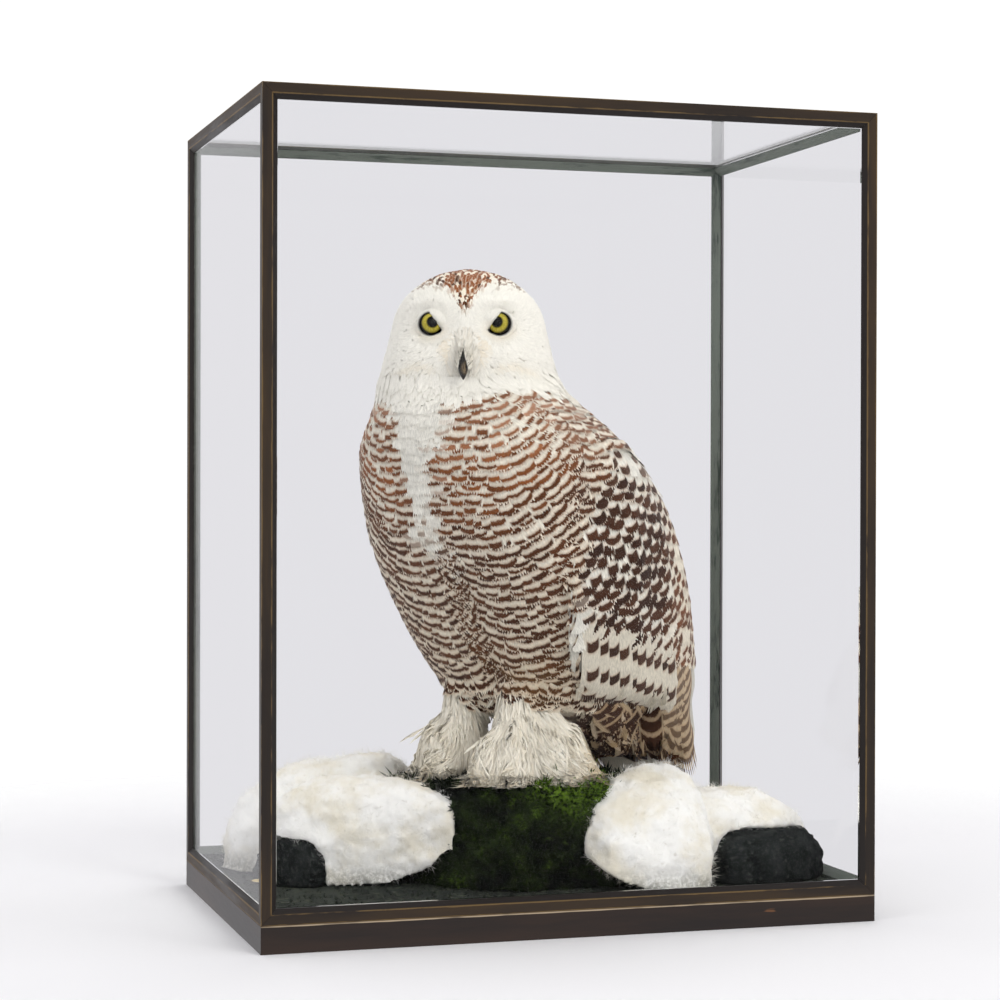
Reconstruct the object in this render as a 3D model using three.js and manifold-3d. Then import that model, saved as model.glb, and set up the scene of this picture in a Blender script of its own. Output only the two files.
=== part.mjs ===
// A snowy owl mounted on a mossy mound between heaps of cotton snow, in a glazed case.
// Millimetres, +Z up. The origin is at the middle of the case's underside; the front pane faces -Y.

import * as THREE from 'three';
import { mergeVertices } from 'three/addons/utils/BufferGeometryUtils.js';
import Module from 'manifold-3d';

const wasm = await Module();
wasm.setup();

// ---- Driving dimensions --------------------------------------------------------------------

const CASE_WIDTH = 617.5;
const CASE_DEPTH = 405;
const CASE_HEIGHT = 800;
const PLINTH_HEIGHT = 26;
const PLINTH_BAR = 20;
const FRAME_BAR = 15;             // how far a frame bar reaches in from the case's edge
const FRAME_FACE = 9.5;           // flat outer strip of a frame bar, before its bevel
const FRAME_BEVEL = 4;            // how deep the bevel runs
const FRAME_HEEL = 7.5;           // thickness of a frame bar where it meets the glass
const GLASS = 3;
const GAP = 0.3;                  // left between pieces that touch
const ROUND_GAP = 0.4;            // the same round the eyes, the bill and the wings
const GROUND_GAP = 0.5;           // the same round the mound, the rocks and the claws
const BEYOND = 900;               // side of a cutting block, past anything it cuts

const GROUND_TOP = 33;            // top of the dark ground bed
const PERCH_TOP = 131.7;          // flat top of the mossy mound, under the feet
const LABEL_RADIUS = 11.5;
const LABEL_THICKNESS = 1.2;
const LABEL_TURN = -17;
const LABEL_X = -278;
const LABEL_Y = -64;

const OWL_X = -37;                // the point between the owl's ankles
const OWL_Y = -30;
const OWL_Z = 132;
const OWL_HEADING = 210;          // the way the breast faces, degrees from +X
const HEAD_TURN = 40;             // the face looks this far to the owl's left of the breast
const OWL_HEIGHT = 519;           // from the soles to the crown
const EYE_RADIUS = 12.6;
const EYE_SPREAD = 34.7;          // from the middle of the face to the middle of an eye
const EYE_LEVEL = 457;
const EYE_FORWARD = 49.5;
const HEAD_CENTRE = 34;           // the head's axis lies this far ahead of the ankles
const STANCE = 37;                // from the middle line to an ankle

const RING_STEPS = 28;

// ---- Small helpers -------------------------------------------------------------------------

const radians = THREE.MathUtils.degToRad;
const vec = (x, y, z) => new THREE.Vector3(x, y, z);
const signedPower = (value, power) => Math.sign(value) * Math.abs(value) ** power;

// A smooth curve through one field of a list of keys, each with the height `at`.
function keyed(keys, field) {
  const at = keys.map((key) => key.at);
  const value = keys.map((key) => key[field]);
  const last = keys.length - 1;
  const slope = value.map((_, i) => {
    const low = Math.max(i - 1, 0);
    const high = Math.min(i + 1, last);
    return (value[high] - value[low]) / (at[high] - at[low]);
  });
  return (height) => {
    const h = THREE.MathUtils.clamp(height, at[0], at[last]);
    let i = 0;
    while (i < last - 1 && h > at[i + 1]) i += 1;
    const span = at[i + 1] - at[i];
    const t = (h - at[i]) / span;
    const rise = t * t * (3 - 2 * t);
    const leave = t * (1 - t) * (1 - t) * span;
    const arrive = t * t * (t - 1) * span;
    return value[i] * (1 - rise) + value[i + 1] * rise + slope[i] * leave + slope[i + 1] * arrive;
  };
}

function keyedSection(keys) {
  const fields = Object.keys(keys[0]).filter((field) => field !== 'at');
  const curves = fields.map((field) => keyed(keys, field));
  return (height) => Object.fromEntries(fields.map((field, i) => [field, curves[i](height)]));
}

// A closed body from points and triangles, its faces turned outwards.
function closedBody(points, faces) {
  const volume = faces.reduce((sum, [a, b, c]) => {
    return sum + points[a].dot(vec(0, 0, 0).crossVectors(points[b], points[c]));
  }, 0);
  const turned = volume < 0 ? faces.map(([a, b, c]) => [a, c, b]) : faces;
  const geometry = new THREE.BufferGeometry();
  geometry.setAttribute('position', new THREE.Float32BufferAttribute(points.flatMap((p) => p.toArray()), 3));
  geometry.setIndex(turned.flat());
  geometry.computeVertexNormals();
  return geometry;
}

// A closed body through a row of rings that have as many points each.
function loft(rings) {
  const steps = rings[0].length;
  const points = rings.flat();
  const faces = [];
  for (let ring = 0; ring < rings.length - 1; ring += 1) {
    for (let i = 0; i < steps; i += 1) {
      const a = ring * steps + i;
      const b = ring * steps + (i + 1) % steps;
      faces.push([a, b, b + steps], [a, b + steps, a + steps]);
    }
  }
  [rings[0], rings[rings.length - 1]].forEach((ring, end) => {
    const middle = ring.reduce((sum, p) => sum.add(p), vec(0, 0, 0)).divideScalar(steps);
    const first = end * (rings.length - 1) * steps;
    const centre = points.push(middle) - 1;
    for (let i = 0; i < steps; i += 1) {
      const a = first + i;
      const b = first + (i + 1) % steps;
      faces.push(end ? [a, b, centre] : [b, a, centre]);
    }
  });
  return closedBody(points, faces);
}

function solid(geometry) {
  const bare = geometry.clone();
  bare.deleteAttribute('normal');
  bare.deleteAttribute('uv');
  const merged = mergeVertices(bare.index ? bare.toNonIndexed() : bare, 1e-4);
  const mesh = new wasm.Mesh({
    numProp: 3,
    vertProperties: new Float32Array(merged.attributes.position.array),
    triVerts: new Uint32Array(merged.index.array),
  });
  return new wasm.Manifold(mesh);
}

// The largest single body of a cut solid, as a geometry.
function geometryOf(manifold) {
  const bodies = manifold.decompose();
  bodies.sort((a, b) => b.volume() - a.volume());
  const mesh = bodies[0].getMesh();
  const geometry = new THREE.BufferGeometry();
  geometry.setAttribute('position', new THREE.BufferAttribute(new Float32Array(mesh.vertProperties), 3));
  geometry.setIndex(new THREE.BufferAttribute(new Uint32Array(mesh.triVerts), 1));
  geometry.computeVertexNormals();
  return geometry;
}

function block(width, depth, height, x, y, z) {
  return new THREE.BoxGeometry(width, depth, height).translate(x, y, z);
}

function ball(radius, x, y, z) {
  const sphere = new THREE.SphereGeometry(1, 12, 9).rotateX(Math.PI / 2);
  return sphere.scale(radius, radius, radius).translate(x, y, z);
}

// A cutting block between two heights, wide and deep past everything.
function slab(low, high) {
  return solid(block(BEYOND, BEYOND, high - low, 0, 0, (low + high) / 2));
}

function part(name, geometry, color, roughness, metalness = 0) {
  const mesh = new THREE.Mesh(geometry, new THREE.MeshStandardMaterial({ color, roughness, metalness }));
  mesh.name = name;
  return mesh;
}

// ---- The case ------------------------------------------------------------------------------

// One bar of the frame, along `axis`, with its outer edge on the case's own edge. Its ends are
// cut at 45 degrees on both sides, so that three bars meet at each corner.
function frameBar(axis, corner, inward, length) {
  const heel = (FRAME_BAR + FRAME_HEEL) / 2;
  const section = [
    [0, 0], [FRAME_FACE, 0], [FRAME_BAR, FRAME_BEVEL], [FRAME_BAR, FRAME_HEEL], [heel, heel],
    [FRAME_HEEL, FRAME_BAR], [FRAME_BEVEL, FRAME_BAR], [0, FRAME_FACE],
  ];
  const across = [0, 1, 2].filter((other) => other !== axis);
  const points = [0, 1].flatMap((end) => section.map(([u, v]) => {
    const set = Math.max(u, v) + GAP / 2;
    const place = [0, 0, 0];
    place[axis] = corner[axis] + (end ? length - set : set);
    place[across[0]] = corner[across[0]] + inward[across[0]] * u;
    place[across[1]] = corner[across[1]] + inward[across[1]] * v;
    return vec(...place);
  }));
  const sides = section.length;
  const faces = [];
  for (let i = 0; i < sides; i += 1) {
    const next = (i + 1) % sides;
    faces.push([i, next, next + sides], [i, next + sides, i + sides]);
  }
  for (let i = 1; i < sides - 1; i += 1) {
    faces.push([0, i + 1, i], [sides, sides + i, sides + i + 1]);
  }
  return closedBody(points, faces);
}

function caseFrame() {
  const low = [-CASE_WIDTH / 2, -CASE_DEPTH / 2, PLINTH_HEIGHT + GAP];
  const high = [CASE_WIDTH / 2, CASE_DEPTH / 2, CASE_HEIGHT];
  const words = [['left', 'right'], ['front', 'back'], ['bottom', 'top']];
  const bars = [];
  for (let axis = 0; axis < 3; axis += 1) {
    const [first, second] = [0, 1, 2].filter((other) => other !== axis);
    for (let i = 0; i < 4; i += 1) {
      const corner = [...low];
      const inward = [1, 1, 1];
      const side = [i % 2, i >> 1];
      [first, second].forEach((other, k) => {
        if (side[k]) {
          corner[other] = high[other];
          inward[other] = -1;
        }
      });
      const kind = axis === 2 ? 'post' : 'rail';
      const name = `case_${kind}_${words[second][side[1]]}_${words[first][side[0]]}`;
      bars.push(part(name, frameBar(axis, corner, inward, high[axis] - low[axis]), 0x2e2418, 0.5));
    }
  }
  return bars;
}

function casePlinth() {
  const board = block(CASE_WIDTH - 2 * PLINTH_BAR - 2 * GAP, CASE_DEPTH - 2 * PLINTH_BAR - 2 * GAP,
    PLINTH_HEIGHT, 0, 0, PLINTH_HEIGHT / 2);
  const bars = [
    ['front', CASE_WIDTH, 0, CASE_DEPTH / 2],
    ['back', CASE_WIDTH, 180, CASE_DEPTH / 2],
    ['right', CASE_DEPTH, 90, CASE_WIDTH / 2],
    ['left', CASE_DEPTH, -90, CASE_WIDTH / 2],
  ].map(([side, length, turn, out]) => {
    const half = length / 2 - GAP / 2;
    const outline = new THREE.Shape([
      new THREE.Vector2(-half, -out),
      new THREE.Vector2(half, -out),
      new THREE.Vector2(half - PLINTH_BAR, -out + PLINTH_BAR),
      new THREE.Vector2(-half + PLINTH_BAR, -out + PLINTH_BAR),
    ]);
    const bar = part(`case_plinth_${side}`,
      new THREE.ExtrudeGeometry(outline, { depth: PLINTH_HEIGHT, bevelEnabled: false }), 0x2a1d14, 0.55);
    bar.rotation.z = radians(turn);
    return bar;
  });
  return [part('case_base_board', board, 0x3a2c20, 0.7), ...bars];
}

function casePanes() {
  const inset = FRAME_BAR + GAP;
  const wide = CASE_WIDTH - 2 * inset;
  const deep = CASE_DEPTH - 2 * inset;
  const low = PLINTH_HEIGHT + GAP + inset;
  const tall = CASE_HEIGHT - inset - low;
  const middle = (CASE_HEIGHT - inset + low) / 2;
  const set = FRAME_BEVEL + GLASS / 2;
  const panes = [
    ['front', block(wide, GLASS, tall, 0, -CASE_DEPTH / 2 + set, middle)],
    ['back', block(wide, GLASS, tall, 0, CASE_DEPTH / 2 - set, middle)],
    ['left', block(GLASS, deep, tall, -CASE_WIDTH / 2 + set, 0, middle)],
    ['right', block(GLASS, deep, tall, CASE_WIDTH / 2 - set, 0, middle)],
    ['top', block(wide, deep, GLASS, 0, 0, CASE_HEIGHT - set)],
  ];
  return panes.map(([side, geometry]) => part(`case_glass_${side}`, geometry, 0xe6eeee, 0.05));
}

// A small plain card disc that stands on the ground by the left pane, turned towards the front.
function caseLabel() {
  const disc = new THREE.CylinderGeometry(LABEL_RADIUS, LABEL_RADIUS, LABEL_THICKNESS, 16);
  const label = part('case_label', disc.rotateX(Math.PI / 2), 0xcfc7a0, 0.8);
  label.rotation.z = radians(LABEL_TURN);
  label.position.set(LABEL_X, LABEL_Y, GROUND_TOP + GAP + LABEL_RADIUS);
  return label;
}

// ---- Ground, rocks, moss and snow ----------------------------------------------------------

const BED = GROUND_TOP + GAP;
const HEAP_LEVELS = 6;
const HEAP_CREST = 82;            // how far up a heap's side, in degrees, its last ring lies

// How a heap's rings run in and out: broad waves and finer ones that shift from ring to ring.
function heapWave(turn, level) {
  const broad = Math.sin(turn * 5 + level);
  const fine = Math.sin(turn * 9 - level * 2);
  return broad + 0.6 * fine;
}

// A heap over a closed lower edge of points [x, y, z]: `steep` sets how upright its sides are,
// `round` how full its top is, and no part of it rises above `flat`.
function heap({ edge, peak, steep, round, flat = Infinity, ripple = 0, grow = 0, steps = 15 }) {
  const curve = new THREE.CatmullRomCurve3(edge.map((point) => vec(...point)), true, 'centripetal');
  const foot = curve.getSpacedPoints(steps).slice(0, steps);
  const rings = [];
  for (let level = 0; level < HEAP_LEVELS; level += 1) {
    const angle = (level / (HEAP_LEVELS - 1)) * radians(HEAP_CREST);
    const spread = Math.cos(angle) ** steep;
    const rise = Math.sin(angle) ** round;
    rings.push(foot.map((p, i) => {
      const wave = heapWave((i / steps) * 2 * Math.PI, level);
      const reach = vec(p.x - peak[0], p.y - peak[1], 0);
      reach.setLength(reach.length() * spread * (1 + ripple * Math.sin(angle) * wave) + grow);
      const low = Math.max(p.z, BED);
      const z = low + (peak[2] - low) * rise + (level === 0 ? -grow : grow);
      return vec(peak[0] + reach.x, peak[1] + reach.y, Math.min(z, flat + grow));
    }));
  }
  return loft(rings);
}

const MOUND = {
  edge: [
    [-72, -110, BED], [-20, -131, BED], [55, -128, BED], [105, -105, BED], [132, -50, BED], [122, 20, BED],
    [88, 74, BED], [20, 108, BED], [-60, 112, BED], [-118, 84, BED], [-150, 35, BED], [-148, -15, BED],
    [-110, -66, BED],
  ],
  peak: [-28, -34, 137],
  steep: 0.36,
  round: 0.8,
  flat: PERCH_TOP,
  steps: 22,
};
const LEFT_FRONT_SNOW = {
  edge: [
    [-266, 12, 46], [-246, -28, BED], [-205, -50, BED], [-160, -62, BED], [-118, -80, 50], [-84, -90, 78],
    [-70, -76, 92], [-84, -52, 90], [-118, -2, BED], [-158, 36, BED], [-205, 44, BED], [-248, 38, BED],
  ],
  peak: [-160, -24, 139],
  steep: 0.66,
  round: 0.66,
  ripple: 0.02,
};
const LEFT_REAR_SNOW = {
  edge: [
    [-289, 98, BED], [-268, 55, BED], [-200, 46, BED], [-130, 50, BED], [-92, 72, BED], [-72, 104, BED],
    [-84, 134, BED], [-140, 154, BED], [-215, 155, BED], [-270, 140, BED],
  ],
  peak: [-120, 86, 149],
  steep: 0.8,
  round: 0.8,
  ripple: 0.02,
};
const RIGHT_SNOW = {
  edge: [
    [28, -134, 68], [28, -152, 62], [50, -166, 47], [82, -180, BED], [110, -186, BED], [158, -166, BED],
    [160, -136, 58], [170, -90, BED], [175, -30, BED], [150, 8, BED], [110, 4, BED], [72, -40, BED],
    [48, -100, 76],
  ],
  peak: [134, -64, 147],
  steep: 0.75,
  round: 0.86,
  ripple: 0.03,
};
const RIGHT_TONGUE = {
  edge: [
    [120, -130, 60], [160, -136, 62], [192, -128, 66], [226, -122, 56], [258, -116, 68], [284, -110, 56],
    [286, -84, 56], [262, -52, BED], [215, -20, BED], [165, 0, BED], [120, -20, BED],
  ],
  peak: [178, -66, 124],
  steep: 0.8,
  round: 0.85,
  ripple: 0.02,
};
const LEFT_ROCK = {
  edge: [
    [-274, -2, BED], [-258, -36, BED], [-226, -52, BED], [-204, -34, BED], [-210, 6, BED], [-246, 20, BED],
  ],
  peak: [-238, -16, 77],
  steep: 0.5,
  round: 0.7,
  ripple: 0.06,
  steps: 14,
};
const RIGHT_ROCK = {
  edge: [
    [172, -150, BED], [205, -162, BED], [255, -150, BED], [287, -125, BED], [287, -88, BED],
    [250, -66, BED], [195, -72, BED], [168, -106, BED],
  ],
  peak: [232, -112, 84],
  steep: 0.45,
  round: 0.6,
  ripple: 0.05,
  steps: 16,
};

function groundwork() {
  const inset = FRAME_BAR + GAP;
  const bed = block(CASE_WIDTH - 2 * inset, CASE_DEPTH - 2 * inset, GROUND_TOP - PLINTH_HEIGHT - GAP,
    0, 0, (GROUND_TOP + PLINTH_HEIGHT + GAP) / 2);
  const grown = (shape) => solid(heap({ ...shape, grow: GROUND_GAP }));
  const mound = grown(MOUND);
  const leftRock = grown(LEFT_ROCK);
  const rightRock = grown(RIGHT_ROCK);
  const leftFront = solid(heap(LEFT_FRONT_SNOW)).subtract(mound).subtract(leftRock);
  const leftRear = solid(heap(LEFT_REAR_SNOW)).subtract(mound).subtract(grown(LEFT_FRONT_SNOW));
  const right = solid(heap(RIGHT_SNOW)).add(solid(heap(RIGHT_TONGUE))).subtract(mound).subtract(rightRock);
  const rockLeft = solid(heap(LEFT_ROCK)).subtract(mound);
  const rockRight = solid(heap(RIGHT_ROCK)).subtract(mound);
  return [
    part('ground_bed', bed, 0x23271f, 0.95),
    part('ground_mound', heap(MOUND), 0x25361a, 0.95),
    part('rock_left', geometryOf(rockLeft), 0x1d2022, 0.9),
    part('rock_right', geometryOf(rockRight), 0x1d2022, 0.9),
    part('snow_left_front', geometryOf(leftFront), 0xe9e7da, 0.95),
    part('snow_left_rear', geometryOf(leftRear), 0xe4dfcb, 0.95),
    part('snow_right', geometryOf(right), 0xe8e6dc, 0.95),
  ];
}

// ---- The owl -------------------------------------------------------------------------------

// Level sections of the plumage from the vent to the crown. `mid` is how far the section's middle
// lies ahead of the ankles, `turn` how far the section is turned to the left, `front`, `back` and
// `half` are its reach, `bed` is how far it draws in under the folded wings, and `cleft` is the
// depth of the parting down the belly.
const BODY = keyedSection([
  { at: 18, mid: -166, turn: 0, front: 36, back: 36, half: 44, bed: 0, cleft: 0 },
  { at: 34, mid: -146, turn: 0, front: 60, back: 56, half: 56, bed: 0, cleft: 0 },
  { at: 52, mid: -118, turn: 0, front: 84, back: 84, half: 70, bed: 0, cleft: 0.05 },
  { at: 68, mid: -94, turn: 0, front: 96, back: 106, half: 87, bed: 2, cleft: 0.12 },
  { at: 84, mid: -76, turn: 0, front: 93, back: 122, half: 100, bed: 6, cleft: 0.16 },
  { at: 120, mid: -50, turn: 0, front: 87, back: 154, half: 120, bed: 12, cleft: 0.12 },
  { at: 160, mid: -30, turn: 0, front: 86, back: 178, half: 134, bed: 14, cleft: 0.1 },
  { at: 200, mid: -15, turn: 0, front: 93, back: 186, half: 143, bed: 14, cleft: 0.08 },
  { at: 240, mid: -5, turn: 0, front: 103, back: 183, half: 148, bed: 14, cleft: 0.06 },
  { at: 280, mid: 0, turn: 0, front: 109, back: 164, half: 149, bed: 13, cleft: 0.03 },
  { at: 320, mid: 0, turn: 2, front: 120, back: 130, half: 145, bed: 8, cleft: 0 },
  { at: 342, mid: 2, turn: 6, front: 123, back: 110, half: 137, bed: 2, cleft: 0 },
  { at: 362, mid: 10, turn: 14, front: 114, back: 98, half: 121, bed: 0, cleft: 0 },
  { at: 380, mid: 21, turn: 26, front: 97, back: 86, half: 107, bed: 0, cleft: 0 },
  { at: 396, mid: 31, turn: 38, front: 77, back: 84, half: 99, bed: 0, cleft: 0 },
  { at: 412, mid: HEAD_CENTRE, turn: HEAD_TURN, front: 70, back: 84, half: 92, bed: 0, cleft: 0 },
  { at: 432, mid: HEAD_CENTRE, turn: HEAD_TURN, front: 69, back: 82, half: 87, bed: 0, cleft: 0 },
  { at: 452, mid: HEAD_CENTRE, turn: HEAD_TURN, front: 66, back: 79, half: 82, bed: 0, cleft: 0 },
  { at: 472, mid: HEAD_CENTRE, turn: HEAD_TURN, front: 63, back: 74, half: 77, bed: 0, cleft: 0 },
  { at: 490, mid: HEAD_CENTRE, turn: HEAD_TURN, front: 56, back: 65, half: 66, bed: 0, cleft: 0 },
  { at: 505, mid: HEAD_CENTRE, turn: HEAD_TURN, front: 42, back: 49, half: 48, bed: 0, cleft: 0 },
  { at: 514, mid: HEAD_CENTRE, turn: HEAD_TURN, front: 27, back: 31, half: 30, bed: 0, cleft: 0 },
  { at: OWL_HEIGHT, mid: HEAD_CENTRE, turn: HEAD_TURN, front: 6, back: 6, half: 6, bed: 0, cleft: 0 },
]);
const FRONT_SQUARE = 2.15;        // 2 is an ellipse, more is squarer
const BACK_SQUARE = 2.7;
const CLEFT_ANGLE = 12;           // the parting lies this far to the left of straight ahead, degrees
const CLEFT_WIDTH = 10;
const BED_START = 66;             // degrees from straight ahead
const BED_END = 96;

// Swellings and hollows of the face, each at a height and an angle to both sides of the bill.
const FACE_RELIEF = [
  { at: 479, side: 27, tall: 8, wide: 17, rise: 6 },      // brow
  { at: 457, side: 27, tall: 13, wide: 12, rise: -4.5 },  // hollow round the eye
  { at: 428, side: 30, tall: 17, wide: 18, rise: 4.5 },   // cheek
  { at: 422, side: 0, tall: 14, wide: 11, rise: 6 },      // bristles over the bill
  { at: 452, side: 0, tall: 20, wide: 9, rise: 3 },       // ridge between the eyes
];

function faceRise(height, angle) {
  const side = Math.abs(THREE.MathUtils.radToDeg(angle));
  return FACE_RELIEF.reduce((sum, lump) => {
    const away = ((height - lump.at) / lump.tall) ** 2 + ((side - lump.side) / lump.wide) ** 2;
    return sum + lump.rise * Math.exp(-away);
  }, 0);
}

function bodyPoint(height, angle, grow = 0) {
  const s = BODY(height);
  const c = Math.cos(angle);
  const degrees = THREE.MathUtils.radToDeg(angle);
  const side = Math.abs(degrees);
  const power = 2 / (c >= 0 ? FRONT_SQUARE : BACK_SQUARE);
  const parting = 1 - s.cleft * Math.exp(-(((degrees - CLEFT_ANGLE) / CLEFT_WIDTH) ** 2));
  const bed = s.bed * THREE.MathUtils.smoothstep(side, BED_START, BED_END);
  const x = signedPower(c, power) * ((c >= 0 ? s.front * parting : s.back) + grow);
  const y = signedPower(Math.sin(angle), power) * (s.half - bed + grow);
  const flat = vec(x, y, 0);
  flat.setLength(flat.length() + faceRise(height, angle));
  const turned = flat.applyAxisAngle(vec(0, 0, 1), radians(s.turn));
  return vec(turned.x + s.mid, turned.y, height);
}

const BODY_LEVELS = [18, 30, 46, 64, 84, 110, 140, 174, 210, 246, 282, 312, 336, 356, 372, 386, 399, 412, 424,
  436, 448, 459, 470, 480, 490, 499, 507, 514, OWL_HEIGHT];

function bodySolid(grow = 0) {
  const last = BODY_LEVELS.length - 1;
  const rings = BODY_LEVELS.map((height, level) => Array.from({ length: RING_STEPS }, (_, i) => {
    const turn = (i / RING_STEPS) * 2 * Math.PI;
    const point = bodyPoint(height, turn > Math.PI ? turn - 2 * Math.PI : turn, grow);
    point.z += level === 0 ? -grow : 0;
    point.z += level === last ? grow : 0;
    return point;
  }));
  return solid(loft(rings));
}

// Level sections of a folded wing. `edge` is how far ahead of the ankles its front edge lies,
// `mid`, `back` and `half` shape its outer face, `wrap` is how far it runs round the back, in
// degrees, and `thick` is its thickness. The right wing's front edge lies further back, by `under`,
// beneath the flank.
const WING = keyedSection([
  { at: 3, edge: -252, mid: -170, back: 108, half: 74, wrap: 60, thick: 5, under: 0 },
  { at: 16, edge: -236, mid: -162, back: 122, half: 79, wrap: 70, thick: 8, under: 0 },
  { at: 40, edge: -208, mid: -135, back: 150, half: 87, wrap: 76, thick: 11, under: 0 },
  { at: 62, edge: -172, mid: -108, back: 166, half: 96, wrap: 79, thick: 15, under: 0 },
  { at: 74, edge: -138, mid: -92, back: 180, half: 103, wrap: 81, thick: 17, under: 0 },
  { at: 84, edge: -72, mid: -80, back: 192, half: 109, wrap: 82, thick: 18, under: 2 },
  { at: 100, edge: -12, mid: -66, back: 200, half: 117, wrap: 83, thick: 20, under: 10 },
  { at: 131, edge: 16, mid: -45, back: 206, half: 129, wrap: 84, thick: 23, under: 24 },
  { at: 160, edge: 28, mid: -30, back: 210, half: 139, wrap: 84, thick: 25, under: 23 },
  { at: 193, edge: 34, mid: -17, back: 209, half: 147, wrap: 83, thick: 26, under: 15 },
  { at: 230, edge: 30, mid: -7, back: 200, half: 152, wrap: 80, thick: 26, under: 2 },
  { at: 270, edge: 22, mid: 0, back: 182, half: 153, wrap: 72, thick: 24, under: 0 },
  { at: 300, edge: 16, mid: 0, back: 156, half: 150, wrap: 62, thick: 21, under: 0 },
  { at: 326, edge: 8, mid: 0, back: 126, half: 145, wrap: 50, thick: 17, under: 0 },
  { at: 344, edge: -8, mid: 0, back: 108, half: 136, wrap: 38, thick: 12, under: 0 },
]);
const WING_EDGE_THICK = 2.5;      // thickness along its edges
const WING_FULL_THICK = 20;       // where it is at least this thick, its front edge turns in fully
const WING_TUCK_SPAN = 0.2;       // share of its width over which the front edge turns in
const WING_END = 1;               // how far past its last sections it is closed
const WING_LEVELS = [3, 14, 34, 54, 68, 77, 84, 94, 112, 140, 176, 214, 252, 288, 318, 344];
const WING_STEPS = 6;
const WING_TUCK = 12;             // how far the front edge turns in under the breast feathers

function wingRing(height, grow, right) {
  const s = WING(height);
  const edge = s.edge - (right ? s.under : 0);
  const power = 2 / BACK_SQUARE;
  const lead = (edge + grow - s.mid) / s.back;
  const start = -Math.sign(lead) * Math.asin(Math.min(Math.abs(lead), 1) ** (1 / power));
  const end = radians(s.wrap) + grow / s.back;
  const face = (t, inset) => {
    const angle = start + (end - start) * t;
    const x = s.mid - signedPower(Math.sin(angle), power) * (s.back - inset);
    const y = Math.cos(angle) ** power * (s.half - inset);
    return vec(x, y, height);
  };
  const outer = [];
  const inner = [];
  for (let i = 0; i <= WING_STEPS; i += 1) {
    const t = i / WING_STEPS;
    const fullness = 1 - Math.abs(2 * t - 1) ** 5;
    const turnedIn = Math.max(0, 1 - t / WING_TUCK_SPAN) ** 2;
    const tuck = WING_TUCK * turnedIn * Math.min(1, s.thick / WING_FULL_THICK);
    const thick = WING_EDGE_THICK + (s.thick - WING_EDGE_THICK) * fullness;
    outer.push(face(t, tuck - grow));
    inner.unshift(face(t, tuck + thick + grow));
  }
  return [...outer, ...inner];
}

function wingGeometry({ grow = 0, right = false } = {}) {
  const rings = WING_LEVELS.map((height) => wingRing(height, grow, right));
  const first = rings[0].map((p) => p.clone().setZ(p.z - grow - WING_END));
  const last = rings[rings.length - 1].map((p) => p.clone().setZ(p.z + grow + WING_END));
  const wing = loft([first, ...rings, last]);
  return right ? mirrored(wing) : wing;
}

function mirrored(geometry) {
  const points = [];
  const position = geometry.attributes.position;
  for (let i = 0; i < position.count; i += 1) {
    points.push(vec(position.getX(i), -position.getY(i), position.getZ(i)));
  }
  const index = Array.from(geometry.index.array);
  const faces = [];
  for (let i = 0; i < index.length; i += 3) {
    faces.push([index[i], index[i + 1], index[i + 2]]);
  }
  return closedBody(points, faces);
}

// The tail is a flat wedge of long vanes, from under the rump down to its tips.
const TAIL = {
  rootX: -135,
  rootZ: 128,
  tipX: -250,
  tipZ: -24,
  rootHalf: 46,
  tipHalf: 57,
  rootThick: 34,
  tipThick: 5,
};
const TAIL_STEPS = 6;
const TAIL_SIDES = 16;
const TAIL_SQUARE = 0.7;          // 1 is an ellipse across, less is squarer
const TAIL_ARCH = 0.1;            // how high its middle arches, as a share of its half width
const TAIL_ROUNDING = 9;          // how far its outer vanes end short of the middle ones

function tailGeometry() {
  const along = vec(TAIL.tipX - TAIL.rootX, 0, TAIL.tipZ - TAIL.rootZ);
  const up = vec(-along.z, 0, along.x).normalize().negate();
  const rings = [];
  for (let k = 0; k <= TAIL_STEPS; k += 1) {
    const t = k / TAIL_STEPS;
    const half = THREE.MathUtils.lerp(TAIL.rootHalf, TAIL.tipHalf, Math.sqrt(t));
    const thick = THREE.MathUtils.lerp(TAIL.rootThick, TAIL.tipThick, t ** 0.7);
    const middle = vec(TAIL.rootX, 0, TAIL.rootZ).addScaledVector(along, t);
    rings.push(Array.from({ length: TAIL_SIDES }, (_, i) => {
      const angle = (i / TAIL_SIDES) * 2 * Math.PI;
      const side = signedPower(Math.cos(angle), TAIL_SQUARE) * half;
      const crown = TAIL_ARCH * half * (1 - (side / half) ** 2);
      const lift = signedPower(Math.sin(angle), TAIL_SQUARE) * thick + crown;
      const rounded = TAIL_ROUNDING * t * (side / half) ** 2;
      return middle.clone().addScaledVector(up, lift).add(vec(rounded * 0.6, side, rounded * 0.8));
    }));
  }
  return loft(rings);
}

const TOE_STEPS = 4;
const TOE_SIDES = 8;
const TOE_ROOT = 0.85;            // width of a toe's feathering at the ankle, as a share of its own
const TOE_SWELL = 0.3;            // how much wider it is at its middle
const TOE_FALL = 0.42;            // how much lower it is at its tip than at the ankle

// One feathered toe, from the ankle out to its fringe, flat underneath.
function toeGeometry([fromX, fromY], [toX, toY], width, height) {
  const start = vec(fromX, fromY, 0);
  const reach = vec(toX - fromX, toY - fromY, 0);
  const side = vec(-reach.y, reach.x, 0).normalize();
  const rings = [];
  for (let k = 0; k <= TOE_STEPS; k += 1) {
    const t = k / TOE_STEPS;
    const half = width * (TOE_ROOT + TOE_SWELL * Math.sin(Math.PI * t)) * Math.sqrt(1.08 - t ** 4);
    const tall = height * (1 - TOE_FALL * t ** 1.4) * Math.sqrt(1.05 - t ** 8);
    const middle = start.clone().addScaledVector(reach, t);
    rings.push(Array.from({ length: TOE_SIDES }, (_, i) => {
      const angle = (i / TOE_SIDES) * 2 * Math.PI;
      const z = Math.max(Math.sin(angle), -0.05) * tall;
      return middle.clone().addScaledVector(side, Math.cos(angle) * half).setZ(z);
    }));
  }
  return loft(rings);
}

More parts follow.
